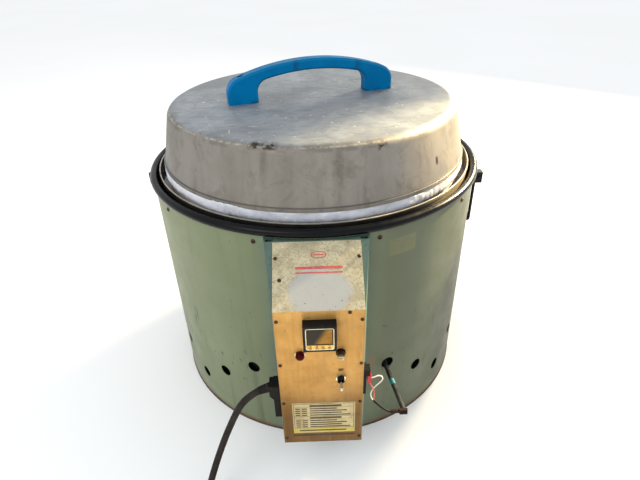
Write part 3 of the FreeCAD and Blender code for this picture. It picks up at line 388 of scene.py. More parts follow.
class Finish:
    """One procedural material, in the coordinates of the CAD frame."""

    def __init__(self, name, **sockets):
        self.material = bpy.data.materials.new(name)
        self.material.use_nodes = True
        self.tree = self.material.node_tree
        self.tree.nodes.clear()
        out = self.tree.nodes.new("ShaderNodeOutputMaterial")
        self.shader = self.tree.nodes.new("ShaderNodeBsdfPrincipled")
        self.tree.links.new(self.shader.outputs[0], out.inputs[0])
        self.place = self.tree.nodes.new("ShaderNodeTexCoord").outputs["Object"]
        for socket, value in sockets.items():
            self.put(socket.replace("_", " "), value)

    def put(self, socket, value):
        """Links a node's output to the shader's socket, or sets a constant on it."""
        if isinstance(value, bpy.types.NodeSocket):
            self.tree.links.new(value, self.shader.inputs[socket])
        else:
            self.shader.inputs[socket].default_value = value

    def feed(self, node, socket, value):
        """Links an output to a node's input, or sets a number or a colour code on it."""
        if isinstance(value, bpy.types.NodeSocket):
            self.tree.links.new(value, node.inputs[socket])
        elif value is not None:
            node.inputs[socket].default_value = tint(value) if isinstance(value, str) else value

    def node(self, kind, inputs, **settings):
        """The outputs of a new node, with its settings made and its inputs linked or set."""
        made = self.tree.nodes.new("ShaderNode" + kind)
        for name, value in settings.items():
            setattr(made, name, value)
        for socket, value in inputs.items():
            self.feed(made, socket, value)
        return made.outputs

    def stretched(self, x=1.0, y=1.0, z=1.0, turn=0.0, shift=(0, 0, 0)):
        return self.node("Mapping", {"Vector": self.place, "Location": shift, "Scale": (x, y, z),
                                     "Rotation": (0, 0, radians(turn))})[0]

    def noise(self, scale, detail=4.0, rough=0.55, vector=None, swirl=0.0):
        return self.node("TexNoise", {"Vector": vector or self.place, "Scale": scale, "Detail": detail,
                                      "Roughness": rough, "Distortion": swirl})["Fac"]

    def cells(self, scale, vector=None):
        return self.node("TexVoronoi", {"Vector": vector or self.place, "Scale": scale})["Distance"]

    def band(self, value, low, high, to_low=0.0, to_high=1.0):
        """value from low to high becomes to_low to to_high, smoothly, and holds outside."""
        return self.node("MapRange", {"Value": value, "From Min": low, "From Max": high, "To Min": to_low,
                                      "To Max": to_high}, interpolation_type="SMOOTHSTEP")["Result"]

    def mottle(self, low, high, *settings, **more):
        """Noise, cut off smoothly: 0 below low and 1 above high."""
        return self.band(self.noise(*settings, **more), low, high)

    def maths(self, operation, a, b=None):
        return self.node("Math", {0: a, 1: b}, operation=operation)[0]

    def times(self, *values):
        total = values[0]
        for value in values[1:]:
            total = self.maths("MULTIPLY", total, value)
        return total

    def axis(self, name, vector=None):
        return self.node("SeparateXYZ", {0: vector or self.place})[name]

    def azimuth(self):
        """Degrees about Z from the front."""
        back = self.maths("MULTIPLY", self.axis("Y"), -1)
        return self.maths("MULTIPLY", self.maths("ARCTAN2", self.axis("X"), back), 180 / pi)

    def from_axis(self):
        """Distance from the Z axis."""
        x, y = self.axis("X"), self.axis("Y")
        return self.maths("SQRT", self.maths("ADD", self.times(x, x), self.times(y, y)))

    def finish(self, colour, gloss_noise, smoothest, roughest, normal):
        """Sets the colour, a roughness that wanders between two values, and the relief."""
        self.put("Base Color", colour)
        self.put("Roughness", self.band(self.noise(*gloss_noise), 0.3, 0.7, smoothest, roughest))
        self.put("Normal", normal)
        return self

    def normal_z(self):
        return self.axis("Z", self.node("NewGeometry", {})["Normal"])

    def within(self, value, low, high, soft):
        """1 while value is between low and high."""
        return self.times(self.band(value, low - soft, low + soft),
                          self.band(value, high - soft, high + soft, 1, 0))

    def mix(self, share, a, b):
        """From colour a, at share 0, to colour b. The sockets are those a mix node has for colours."""
        return self.node("Mix", {0: share, 6: a, 7: b}, data_type="RGBA")[2]

    def over(self, under, code, *shares):
        """The colour of the code laid over another colour, as strongly as the product of the shares."""
        return self.mix(self.times(*shares), under, code)

    def bump(self, height, depth, strength=1.0, before=None):
        return self.node("Bump", {"Strength": strength, "Distance": depth, "Height": height,
                                  "Normal": before})[0]


def finish_casing():
    f = Finish("green_hammered_paint", Metallic=0.0, Specular_IOR_Level=0.3, Coat_Weight=0.06,
               Coat_Roughness=0.35)
    height, around = f.axis("Z"), f.azimuth()
    wide = f.noise(3.2, 5, 0.6)
    colour = f.mix(f.band(wide, 0.3, 0.7), "6a7357", "757e5f")
    # the paint is yellower round the sides
    turned_away = f.band(f.maths("ABSOLUTE", around), 14, 70)
    colour = f.over(colour, "868b68", turned_away, 0.45)
    # painted shade: the casing beside the box is bluer and darker
    shaded_beside_box = f.band(f.maths("ABSOLUTE", around), 12, 20, 1, 0)
    colour = f.over(colour, "56706a", shaded_beside_box, 0.5)
    # painted shade: the right side is darker
    right_side_painted_lighting = f.times(f.band(around, 8, 26), f.band(around, 120, 165, 1, 0))
    colour = f.over(colour, "4a5140", right_side_painted_lighting, 0.75)
    # painted shade: darker still at the far right
    shaded_far_right = f.times(f.band(around, 38, 55), f.band(around, 100, 150, 1, 0))
    colour = f.over(colour, "343b2c", shaded_far_right, 0.7)
    # dirt runs down from the rim, and gathers towards the foot
    runs = f.noise(38, 5, 0.65, f.stretched(1, 1, 0.09))
    runs = f.times(f.band(runs, 0.5, 0.78), f.band(height, 0.08, 0.3, 0.75, 0.25))
    colour = f.over(colour, "4e5440", runs)
    blotch = f.times(f.mottle(0.55, 0.75, 11, 6, 0.7), f.band(height, 0.05, 0.25, 0.6, 0.15))
    colour = f.over(colour, "56573c", blotch)
    specks = f.times(f.mottle(0.66, 0.72, 130, 3, 0.6, f.stretched(1, 1, 0.5)),
                     f.mottle(0.42, 0.6, 9, 2), f.band(height, 0.1, 0.35, 0.95, 0.4))
    colour = f.over(colour, "22261c", specks)
    streaks = f.times(f.mottle(0.6, 0.7, 75, 4, 0.65, f.stretched(1, 1, 0.16)),
                      f.within(height, 0.07, 0.25, 0.05), f.mottle(0.4, 0.55, 7, 3))
    colour = f.over(colour, "33372a", streaks, 0.75)
    # where a square label once was, right of the box and under the rim
    ghost = f.times(f.within(around, 21.3, 30.6, 0.25), f.within(height, 0.394, 0.425, 0.0006))
    ghost = f.times(ghost, f.band(f.noise(45, 5, 0.7), 0.25, 0.6, 0.35, 0.85))
    colour = f.over(colour, "68694a", ghost)
    # a rusty smear beside the probe's socket, and rust creeping up from the base
    smear = f.times(f.within(around, 15.2, 18.6, 1.0), f.within(height, 0.162, 0.185, 0.006))
    smear = f.times(smear, f.mottle(0.35, 0.6, 90, 4))
    colour = f.over(colour, "8a5a3a", smear, 0.7)
    foot = f.times(f.band(height, 0.004, 0.016, 1, 0), f.band(f.noise(30, 5, 0.7), 0.35, 0.6, 0.35, 1))
    colour = f.over(colour, "6a5238", foot)
    hammered, dents = f.noise(520, 2, 0.5), f.noise(7, 2)
    relief = f.bump(hammered, 0.0003, 0.5, f.bump(dents, 0.002, 0.25))
    return f.finish(colour, (20, 4), 0.4, 0.55, relief)


def finish_lid():
    f = Finish("worn_lid_steel", Metallic=0.6, Specular_IOR_Level=0.3)
    height, around, reach = f.axis("Z"), f.azimuth(), f.from_axis()
    on_top = f.band(f.normal_z(), 0.76, 0.95)
    cloud = f.mottle(0.3, 0.7, 7, 6, 0.65, swirl=0.6)
    top = f.mix(cloud, "7c8083", "9a9ea1")
    mottle = f.mottle(0.48, 0.66, 38, 5, 0.7, f.stretched(1, 2.6, 1))
    top = f.over(top, "6a737c", mottle, 0.45)
    blots = f.mottle(0.52, 0.7, 19, 5, 0.7, swirl=1.2)
    top = f.over(top, "6f7478", blots, 0.6)
    # short scuffs in two directions
    scuff = f.mottle(0.68, 0.74, 26, 3, 0.5, f.stretched(1, 7, 1, turn=24))
    scuff_too = f.mottle(0.7, 0.76, 22, 3, 0.5, f.stretched(7, 1, 1, turn=-12, shift=(3, 1, 0)))
    gate = f.mottle(0.5, 0.6, 5, 2, vector=f.stretched(1, 1, 1, shift=(2, 5, 1)))
    scuffs = f.times(f.maths("MAXIMUM", scuff, scuff_too), gate)
    top = f.over(top, "d4d3d0", scuffs, 0.8)
    specks = f.mottle(0.7, 0.74, 160, 2)
    top = f.over(top, "5c5a56", specks, 0.5)
    flecks = f.mottle(0.7, 0.73, 130, 2, vector=f.stretched(1, 1, 1, shift=(1, 2, 0)))
    top = f.over(top, "d6d6d2", flecks, 0.7)
    side = f.mottle(0.3, 0.7, 9, 6, 0.65, f.stretched(1, 1, 0.35))
    side = f.mix(side, "7a756d", "8f8a82")
    runs = f.mottle(0.52, 0.74, 42, 5, 0.6, f.stretched(1, 1, 0.07))
    side = f.over(side, "655e55", runs, 0.5)
    blotches = f.mottle(0.5, 0.68, 24, 6, 0.75, swirl=0.8)
    side = f.over(side, "5f584f", blotches, 0.4)
    # two old water runs down the front
    for middle, soft in ((7.5, 1.6), (-16.0, 1.0)):
        run = f.within(around, middle - soft, middle + soft, soft)
        run = f.times(run, f.mottle(0.4, 0.62, 30, 5, 0.7, f.stretched(1, 1, 0.4)))
        side = f.over(side, "5b5347", run, 0.4)
    colour = f.mix(on_top, side, top)
    # the shoulder is dirty and worn by scrapes, most of all at the front, and carries a thin painted
    # highlight
    at_rim = f.band(reach, 0.246, 0.252)
    shoulder = f.times(f.within(height, 0.5605, 0.5705, 0.0018), at_rim)
    grime = f.times(shoulder, f.mottle(0.45, 0.62, 34, 5, 0.7))
    colour = f.over(colour, "5e5548", grime, 0.45)
    # a thin bright line round the shoulder: partly bare worn metal, partly a painted highlight
    scraped_and_highlight = f.times(f.within(height, 0.5655, 0.5678, 0.0008), at_rim,
                      f.mottle(0.42, 0.6, 90, 5, 0.75), 0.55)
    colour = f.over(colour, "c0b8a6", scraped_and_highlight)
    for middle, half, low, high in ((-14.5, 2.6, 0.5635, 0.5705), (22.5, 1.6, 0.555, 0.564),
                                    (-19, 1.3, 0.564, 0.5705)):
        mark = f.times(f.within(around, middle - half, middle + half, half * 0.6),
                       f.within(height, low, high, 0.0015), f.mottle(0.4, 0.55, 120, 4), at_rim)
        colour = f.over(colour, "2c2419", mark, 0.9)
    nick = f.times(f.within(around, 44.8, 46.0, 0.5), f.within(height, 0.507, 0.519, 0.003))
    colour = f.over(colour, "2a241c", nick)
    hem = f.within(height, 0.4797, 0.4817, 0.0006)
    colour = f.over(colour, "574d42", hem, 0.4)
    scratches = f.noise(300, 3, 0.6, f.stretched(1, 0.05, 1, turn=30))
    waves = f.noise(6.5, 2, 0.5)
    dents = f.band(f.cells(9, f.stretched(1, 1, 1, shift=(0.13, 0.2, 0))), 0.0, 0.22, 0, 1)
    relief = f.bump(scratches, 0.0002, 0.35, f.bump(dents, 0.0012, 0.25, f.bump(waves, 0.004, 0.35)))
    return f.finish(colour, (14, 5, 0.6), 0.42, 0.62, relief)


def finish_fibre(name, stained):
    """Ceramic fibre: matt white, felted, with loose clumps."""
    f = Finish(name, Metallic=0.0, Roughness=0.95, Specular_IOR_Level=0.1)
    colour = f.mix(f.mottle(0.3, 0.7, 14, 6, 0.7), "aeb2ba", "d0d2d8")
    # painted light: the collar's left side is whiter
    painted_light_left_side = f.band(f.azimuth(), -50, -15, 1, 0)
    colour = f.over(colour, "ecebee", painted_light_left_side, 0.8)
    if stained:
        colour = f.over(colour, "c9b79a", f.mottle(0.45, 0.75, 6, 4, 0.6))
    pits = f.mottle(0.58, 0.68, 210, 4, 0.7)
    colour = f.over(colour, "9b9894", pits, 0.5)
    f.put("Base Color", colour)
    felt = f.noise(380, 6, 0.75, swirl=1.5)
    lumps = f.noise(60, 5, 0.65)
    f.put("Normal", f.bump(felt, 0.0008, 0.7, f.bump(lumps, 0.003, 0.6)))
    return f


def finish_liner():
    """The liner: dark below its rim with painted shade, bare and bright along the rim, and painted warm
    sunlight on the right.
    """
    f = Finish("liner_steel", Specular_IOR_Level=0.25)
    # painted shade: dark below the rim; painted sunlight: warm pale metal on the right side
    painted_shade_dark = f.mix(f.mottle(0.3, 0.7, 24, 5, 0.65), "171615", "2e2b28")
    painted_sunlight = f.mix(f.mottle(0.3, 0.7, 30, 5, 0.65), "8d8068", "b3a88f")
    right_side_painted_lighting = f.times(f.band(f.azimuth(), 24, 50), f.band(f.azimuth(), 120, 150, 1, 0),
                         f.band(f.axis("Z"), 0.36, 0.42))
    colour = f.mix(f.times(right_side_painted_lighting, f.band(f.noise(16, 4), 0.2, 0.6, 0.6, 1)), painted_shade_dark, painted_sunlight)
    bright = f.times(f.band(f.axis("Z"), 0.4612, 0.4624), f.band(f.noise(60, 4), 0.3, 0.5, 0.45, 1))
    colour = f.over(colour, "b9b2a4", bright)
    f.put("Metallic", f.band(bright, 0, 1, 0.2, 0.7))
    return f.finish(colour, (40, 4), 0.4, 0.6, f.bump(f.noise(120, 3), 0.0004, 0.4))


def finish_fuse_cap():
    """A brown cap whose front face has faded pale."""
    f = Finish("faded_fuse_cap", Specular_IOR_Level=0.3)
    brown = f.mix(f.mottle(0.3, 0.7, 90, 4), "231009", "3c2014")
    pale = f.mix(f.mottle(0.35, 0.65, 140, 4, 0.7), "a08a5e", "d9c9a0")
    front = f.times(f.band(f.axis("Y"), -0.4100, -0.4088, 1, 0), f.band(f.axis("Z"), 0.3035, 0.3055, 1, 0.15))
    return f.finish(f.mix(front, brown, pale), (60, 4), 0.25, 0.45, f.bump(f.noise(260, 3), 0.0003, 0.4))


def finish_blue():
    f = Finish("blue_enamel", Metallic=0.0, Specular_IOR_Level=0.04, Coat_Weight=0.0)
    along = f.axis("X", f.stretched(turn=-16))
    colour = f.mix(f.mottle(0.3, 0.7, 16, 5, 0.6), "00669a", "0071a8")
    # faded along the top and its bevels, darker runs down the front
    worn = f.times(f.band(f.normal_z(), 0.35, 0.8), f.band(f.noise(50, 5, 0.65), 0.3, 0.6, 0.3, 0.8))
    colour = f.over(colour, "0e668e", worn)
    for place, soft in ((-0.032, 0.004), (0.084, 0.007), (0.02, 0.003)):
        run = f.within(along, place - soft, place + soft, soft)
        run = f.times(run, f.mottle(0.35, 0.65, 70, 4, 0.6, f.stretched(1, 1, 0.2)))
        colour = f.over(colour, "18324f", run, 0.55)
    chips = f.mottle(0.7, 0.735, 140, 3, 0.6)
    colour = f.over(colour, "32393f", chips, 0.85)
    grime = f.times(f.band(f.axis("Z"), 0.571, 0.579, 1, 0), f.mottle(0.4, 0.6, 60, 4))
    colour = f.over(colour, "14293d", grime, 0.6)
    relief = f.bump(f.noise(260, 2), 0.0003, 0.25, f.bump(f.noise(28, 2), 0.0012, 0.3))
    return f.finish(colour, (35, 4), 0.3, 0.46, relief)


FOLD_HEIGHT = 0.381


def finish_panel():
    """Brass-coloured sheet below the fold. Above it the finish is a pale, mottled grey: partly weathered,
    partly a painted sky reflection.
    """
    f = Finish("brass_panel", Specular_IOR_Level=0.5)
    x, height = f.axis("X"), f.axis("Z")
    brushed = f.noise(210, 3, 0.6, f.stretched(1, 1, 0.03))
    cloud = f.noise(24, 6, 0.65)
    gold = f.mix(f.band(cloud, 0.3, 0.7), "bb8e48", "c79c58")
    gold = f.over(gold, "b2863f", f.band(brushed, 0.35, 0.65, 0, 0.3))
    gold = f.over(gold, "b78a4b", f.band(f.noise(8, 5, 0.65), 0.45, 0.75, 0, 0.4))
    tarnish = f.times(f.mottle(0.4, 0.7, 17, 6, 0.7), f.band(height, 0.12, 0.25, 0.95, 0.3))
    gold = f.over(gold, "5e4218", f.band(height, 0.15, 0.27, 0.95, 0))
    gold = f.over(gold, "5c401b", tarnish)
    runs = f.times(f.mottle(0.56, 0.7, 60, 4, 0.6, f.stretched(1, 1, 0.12)),
                   f.band(x, 0.02, 0.05, 0.3, 1))
    gold = f.over(gold, "7c5a2e", runs, 0.6)
    grain = f.mottle(0.5, 0.68, 120, 5, 0.7, f.stretched(1, 1, 0.05, shift=(4, 1, 2)))
    gold = f.over(gold, "9a7536", grain, 0.35)
    edge = f.band(f.maths("ABSOLUTE", x), 0.059, 0.066, 0, 0.45)
    gold = f.over(gold, "8d6c3c", edge)
    # the slant: weathered, and pale with a painted sky reflection, with a wiped oval in its middle
    pale = f.mix(f.mottle(0.38, 0.62, 48, 6, 0.75), "a89c7c", "c4b896")
    pale = f.over(pale, "7d7552", f.mottle(0.5, 0.62, 330, 4, 0.75), 0.6)
    pale = f.over(pale, "6c6543", f.mottle(0.6, 0.7, 150, 4, 0.7), 0.5)
    across = f.maths("DIVIDE", f.maths("SUBTRACT", x, 0.002), 0.047)
    down = f.maths("DIVIDE", f.maths("SUBTRACT", height, 0.398), 0.0215)
    oval = f.maths("SQRT", f.maths("ADD", f.times(across, across), f.times(down, down)))
    oval = f.maths("ADD", oval, f.band(f.noise(26, 4), 0.2, 0.8, -0.16, 0.16))
    pale = f.over(pale, "a8a7a1", f.band(oval, 0.8, 1.12, 0.9, 0))
    top_stain = f.times(f.band(height, 0.425, 0.444), f.mottle(0.4, 0.6, 60, 5))
    pale = f.over(pale, "8d8465", top_stain, 0.5)
    above = f.band(f.maths("ADD", height, f.band(f.noise(120, 3), 0, 1, -0.0006, 0.0006)),
                   FOLD_HEIGHT - 0.0006, FOLD_HEIGHT + 0.0012)
    colour = f.mix(above, gold, pale)
    specks = f.times(f.mottle(0.71, 0.75, 230, 2), 0.8)
    colour = f.over(colour, "3d3220", specks)
    rust = f.times(f.within(x, 0.0265, 0.0345, 0.002), f.within(height, 0.2625, 0.268, 0.0015))
    colour = f.over(colour, "4d3314", rust, f.mottle(0.3, 0.5, 150, 4))
    f.put("Metallic", f.band(above, 0, 1, 0.45, 0.1))
    relief = f.bump(brushed, 0.0002, 0.35, f.bump(f.noise(12, 2), 0.0015, 0.25))
    return f.finish(colour, (30, 4), 0.42, 0.6, relief)


def plain(name, dark, light, scale=30.0, rough=(0.4, 0.55), depth=0.0004, grain=260.0, wear=None,
          **sockets):
    """A mottled finish between two colours, with a fine grain and, if asked, worn specks."""
    f = Finish(name, **sockets)
    colour = f.mix(f.mottle(0.3, 0.7, scale, 5, 0.6), dark, light)
    if wear:
        colour = f.over(colour, wear, f.mottle(0.6, 0.7, scale * 5, 4, 0.65), 0.6)
    return f.finish(colour, (scale * 1.7, 4), *rough, f.bump(f.noise(grain, 3, 0.6), depth, 0.4))


def finish_box_side():
    """The box's sides: the casing's paint, darker and bluer as painted shade, with scrapes."""
    f = Finish("box_paint_painted_shade", Specular_IOR_Level=0.45)
    colour = f.mix(f.mottle(0.3, 0.7, 12, 5, 0.65), "40584e", "50685c")
    runs = f.mottle(0.54, 0.72, 50, 4, 0.6, f.stretched(1, 1, 0.1))
    colour = f.over(colour, "28352f", runs, 0.6)
    colour = f.over(colour, "8b7a55", f.mottle(0.66, 0.72, 170, 3), 0.7)
    return f.finish(colour, (20, 4), 0.42, 0.6, f.bump(f.noise(480, 2), 0.0003, 0.4))


def finish_plate():
    f = Finish("cream_plate", Specular_IOR_Level=0.4)
    height = f.axis("Z")
    colour = f.mix(f.mottle(0.3, 0.7, 40, 5, 0.65), "a4946a", "beb086")
    yellow = f.within(height, 0.1215, 0.1305, 0.0004)
    colour = f.over(colour, "b5a632", yellow, 0.85)
    colour = f.over(colour, "8d7c52", f.mottle(0.56, 0.66, 150, 4, 0.7), 0.5)
    return f.finish(colour, (60, 4), 0.5, 0.7, f.bump(f.noise(300, 2), 0.0002, 0.3))


def finish_window():
    """The controller's dark window: black under a clear gloss, with dust."""
    f = Finish("controller_glass", Metallic=0.0, Roughness=0.2, Specular_IOR_Level=0.12, Coat_Weight=0.15,
               Coat_Roughness=0.05)
    dust = f.band(f.noise(220, 4, 0.7), 0.55, 0.75, 0, 0.25)
    dark = f.mix(dust, "0c0a08", "2e2616")
    # a painted gold reflection in the corner, on the right of a slanting edge
    slope = f.maths("SUBTRACT", f.axis("X"), f.times(f.maths("SUBTRACT", f.axis("Z"), 0.346), 0.55))
    painted_gold_reflection = f.times(f.band(slope, -0.005, 0.008), f.band(f.axis("Z"), 0.3335, 0.3355),
                    f.band(f.axis("X"), 0.0165, 0.018, 1, 0))
    painted_gold_reflection = f.times(painted_gold_reflection, f.band(f.noise(180, 3), 0.25, 0.55, 0.6, 1))
    f.put("Base Color", f.over(dark, "96691a", painted_gold_reflection))
    return f


def finish_lens():
    f = Finish("red_lens", Metallic=0.0, Roughness=0.3, Specular_IOR_Level=0.06, Coat_Weight=0.0)
    ribs = f.cells(420)
    f.put("Base Color", f.mix(f.mottle(0.3, 0.7, 120, 3), "2c0205", "4c0508"))
    f.put("Normal", f.bump(ribs, 0.0006, 0.5))
    return f


def dress():
    """Gives each listed CAD node its finish, and returns the finishes by node name."""
    black = plain("black_moulding", "0a0a0b", "151414", 40, (0.45, 0.6), wear="2a2826",
                  Specular_IOR_Level=0.16)
    trim = plain("black_trim", "010203", "050608", 12, (0.22, 0.36), 0.0006, 60,
                 Specular_IOR_Level=0.16)
    steel = plain("plain_steel", "9c9a94", "b9b6af", 60, (0.3, 0.5), Metallic=1.0)
    dark_steel = plain("aged_screw_steel", "2c1e15", "5c4836", 180, (0.35, 0.6), wear="1c130c",
                       Metallic=0.5, Specular_IOR_Level=0.3)
    rim_steel = finish_liner()
    plated = plain("plated_metal", "b9b8b4", "d6d5d2", 90, (0.12, 0.3), Metallic=1.0)
    rubber = plain("cord_rubber", "1c1815", "2c2622", 45, (0.55, 0.75), 0.0004, 320, wear="3c352f",
                   Specular_IOR_Level=0.2)
    fibre = finish_fibre("ceramic_fibre", False)
    used = finish_fibre("fired_fibre", True)
    ceramic = plain("ceramic_bush", "cfc7b8", "e4dfd4", 70, (0.35, 0.5), wear="a89c86")
    brown = plain("brown_bakelite", "1c0c07", "301810", 60, (0.2, 0.35), Specular_IOR_Level=0.3)
    paint = plain("black_paint", "0b0e14", "161a22", 50, (0.4, 0.6), wear="3c3a38",
                  Specular_IOR_Level=0.2)
    looks = {
        "base_pan": plain("base_paint", "3c2c1f", "5a4532", 25, (0.5, 0.7), wear="7a5c3e"),
        "outer_casing": finish_casing(), "rim_trim": trim, "inner_liner": rim_steel,
        "wall_insulation": used, "floor_insulation": used, "wall_spacers": steel, "casing_screws": dark_steel,
        "floor_pillars": steel,
        "heating_elements": plain("heating_wire", "3a332c", "5a5046", 90, (0.5, 0.7), Metallic=0.7),
        "element_bushes": ceramic, "element_studs": steel, "lid_shell": finish_lid(), "lid_insulation": fibre,
        "lid_handle": finish_blue(), "lid_handle_bolts": dark_steel, "side_handle_brackets": paint,
        "side_bail_right": paint, "side_bail_left": paint, "side_grip_right": black, "side_grip_left": black,
        "control_box": finish_box_side(), "front_panel": finish_panel(), "panel_screws": dark_steel,
        "instruction_plate": finish_plate(), "controller_housing": black,
        "controller_face": plain("face_film", "15120e", "221d16", 120, (0.3, 0.45)),
        "controller_window": finish_window(), "controller_clamp": black, "lamp_lens": finish_lens(),
        "lamp_body": plated, "fuse_holder_body": black, "fuse_cap": finish_fuse_cap(),
        "fuse_link": plain("fuse_glass", "cfd4d4", "e4e8e8", 200, (0.05, 0.12), Transmission_Weight=0.8),
        "toggle_body": black, "toggle_nut": plated, "toggle_lever": plated,
        "heat_sink": plain("bare_aluminium", "a9abad", "c6c8ca", 50, (0.35, 0.5), Metallic=0.95),
        "solid_state_relay": black, "terminal_block": brown, "inlet_flange": black, "cord_gland": black,
        "strain_relief": rubber, "mains_cord": rubber, "mains_cord_coil": rubber, "mains_cord_tail": rubber,
        "cord_tie": black, "plug_body": rubber,
        "plug_blades": plain("brass_blade", "b08a45", "cfae6a", 120, (0.25, 0.4), Metallic=1.0),
        "thermocouple_sheath": plain("probe_tube", "1a1d20", "2e3131", 60, (0.6, 0.8), wear="4c4a44",
                                     Specular_IOR_Level=0.2),
        "thermocouple_head": plain("probe_head", "120a07", "2c1810", 90, (0.5, 0.7),
                                   Specular_IOR_Level=0.12),
        "thermocouple_lead": black, "thermocouple_jack": black,
        "thermocouple_plug": plain("red_plug", "a51218", "c8242a", 80, (0.3, 0.45)),
        "wire_white": plain("white_sleeve", "ddd8cf", "f2eee6", 120, (0.45, 0.6)),
        "wire_red": plain("red_sleeve", "b8403c", "d06a60", 120, (0.45, 0.6)),
    }
    for k in range(1, 5):
        looks["controller_key_%d" % k] = plain("key_cap_%d" % k, "8a6a2c", "c49a4a", 200, (0.35, 0.5))
    for name, finish in looks.items():
        give(nodes[name], finish)
    return looks


def give(piece, finish):
    piece.data.materials.clear()
    piece.data.materials.append(finish.material)


# ---------------------------------------------------------------- detail pieces

def fibre_collar():
    """The lid's insulation: a felted block with a ragged collar, torn at the front left."""
    low, high, top, edge, widest = 0.4554, 0.4742, 0.5445, 0.288, 0.2925
    profile = [(0.0, low), (0.1, low), (0.18, low), (0.23, low), (0.262, low), (0.274, low), (0.282, low),
               (0.286, low + 0.0008), (edge, low + 0.0028), (edge, low + 0.007), (edge, low + 0.0115),
               (edge, low + 0.016), (0.2878, high - 0.0006), (0.2865, high), (0.2842, high), (0.2832, high),
               (0.279, high + 0.02), (0.2686, top), (0.2, top), (0.0, top)]
    torn_at, torn_wide = radians(-118.5), radians(5)

    def ragged(point, radius, height, angle):
        if radius < 0.28 or height > high + 0.001:
            return point
        out = Vector((cos(angle), sin(angle), 0))
        coarse = noise.noise(Vector((out.x * 9, out.y * 9, height * 60)))
        fine = noise.noise(Vector((out.x * 46, out.y * 46, height * 220)))
        shift = -0.0016 + 0.0022 * coarse + 0.0013 * fine
        away = (angle - torn_at + pi) % tau - pi
        torn = exp(-(away / torn_wide) ** 2)
        clump = noise.noise(Vector((out.x * 90, out.y * 90, height * 150)))
        shift += torn * (0.0012 + 0.0028 * clump)
        rise = 0.0
        if height > low + 0.014 and radius > 0.2835:
            rise = 0.0008 * noise.noise(Vector((out.x * 60, out.y * 60, 3)))
        if 0.2855 < radius and height > low + 0.014:
            rise += torn * (0.0035 + 0.003 * clump)
            shift -= 0.001 * (1 - torn)
        return point + out * (min(radius + shift, widest) - radius) + Vector((0, 0, rise))

    made = mesh_piece("fibre_collar", lathed(profile, 720, ragged), crease=70)
    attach(made, "lid")
    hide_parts("lid_insulation")
    return made


def heating_coils():
    """Each element's coiled wire, wound round the middle of its grooves, with risers between grooves."""
    middle, coil, wire = 0.203, 0.0043, 0.0007
    step, around, first_groove, groove_pitch = 0.0062, 7, 165, 46
    start_turn = radians(4)
    shapes = []
    for element in range(2):
        line = []
        for ring in range(3):
            height = (first_groove + (3 * element + ring) * groove_pitch) * MM
            sweep = tau - 2 * start_turn
            count = round(middle * sweep / step) * around
            forwards = ring % 2 == 0
            for k in range(count + 1):
                share = k / count if forwards else 1 - k / count
                angle = -pi / 2 + start_turn + sweep * share
                phase = tau * k / around
                reach = middle + coil * cos(phase)
                line.append(Vector((reach * cos(angle), reach * sin(angle),
                                    height + coil * sin(phase))))
        shapes.append(swept(line, wire, 5))
    made = mesh_piece("heating_coils", joined(shapes), crease=80)
    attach(made, "kiln")
    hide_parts("heating_elements")
    return made


def handle_grips():
    """Ribbed grips on the two folding carry handles, with rounded ends."""
    made = []
    half, thick, drop, reach, hinge_height = 32, 8, 108, 318, 421
    profile = [(3.1, -half), (5.5, -half), (7.1, -half + 0.7), (7.9, -half + 2.4)]
    ribs = 9
    for k in range(ribs):
        at = -half + 5 + k * (2 * half - 10) / (ribs - 1)
        profile += [(thick, at - 1.9), (thick, at + 1.9), (thick - 0.9, at + 2.6), (thick - 0.9, at + 4.2)]
    profile = profile[:-2] + [(7.9, half - 2.4), (7.1, half - 0.7), (5.5, half), (3.1, half)]
    for side, azimuth in (("right", 90), ("left", -98)):
        place = Matrix.Rotation(radians(azimuth), 4, "Z") @ Matrix.Translation(
            Vector((0, -reach, hinge_height - drop)) * MM) @ Matrix.Rotation(pi / 2, 4, "Y") @ IN_MM
        piece = mesh_piece("handle_grip_" + side, moved(lathed(profile, 40, closed=True), place), crease=40)
        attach(piece, side + "_carry_handle")
        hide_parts("side_grip_" + side)
        made.append(piece)
    return made


PANEL_FRONT = -0.399
SLANT_ANGLE = radians(37.2)


def on_panel(shape):
    """A flat shape drawn as (x, height) in millimetres, standing out of the panel's front."""
    turn = Matrix(((1, 0, 0, 0), (0, 0, -1, PANEL_FRONT / MM), (0, 1, 0, 0), (0, 0, 0, 1)))
    return moved(shape, IN_MM @ turn)


def on_slant(shape):
    """A flat shape drawn as (x, distance up from the fold) in millimetres, standing out of the slant."""
    place = Matrix.Translation((0, PANEL_FRONT, FOLD_HEIGHT)) @ Matrix.Rotation(SLANT_ANGLE, 4, "X")
    return moved(shape, place @ IN_MM)


def thin_piece(name, shapes, finish):
    made = mesh_piece(name, joined(shapes))
    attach(made, "kiln")
    give(made, finish)
    return made


def ellipse(x, y, wide, tall, count=48):
    return [(x + wide * cos(tau * k / count), y + tall * sin(tau * k / count))
            for k in range(count)]


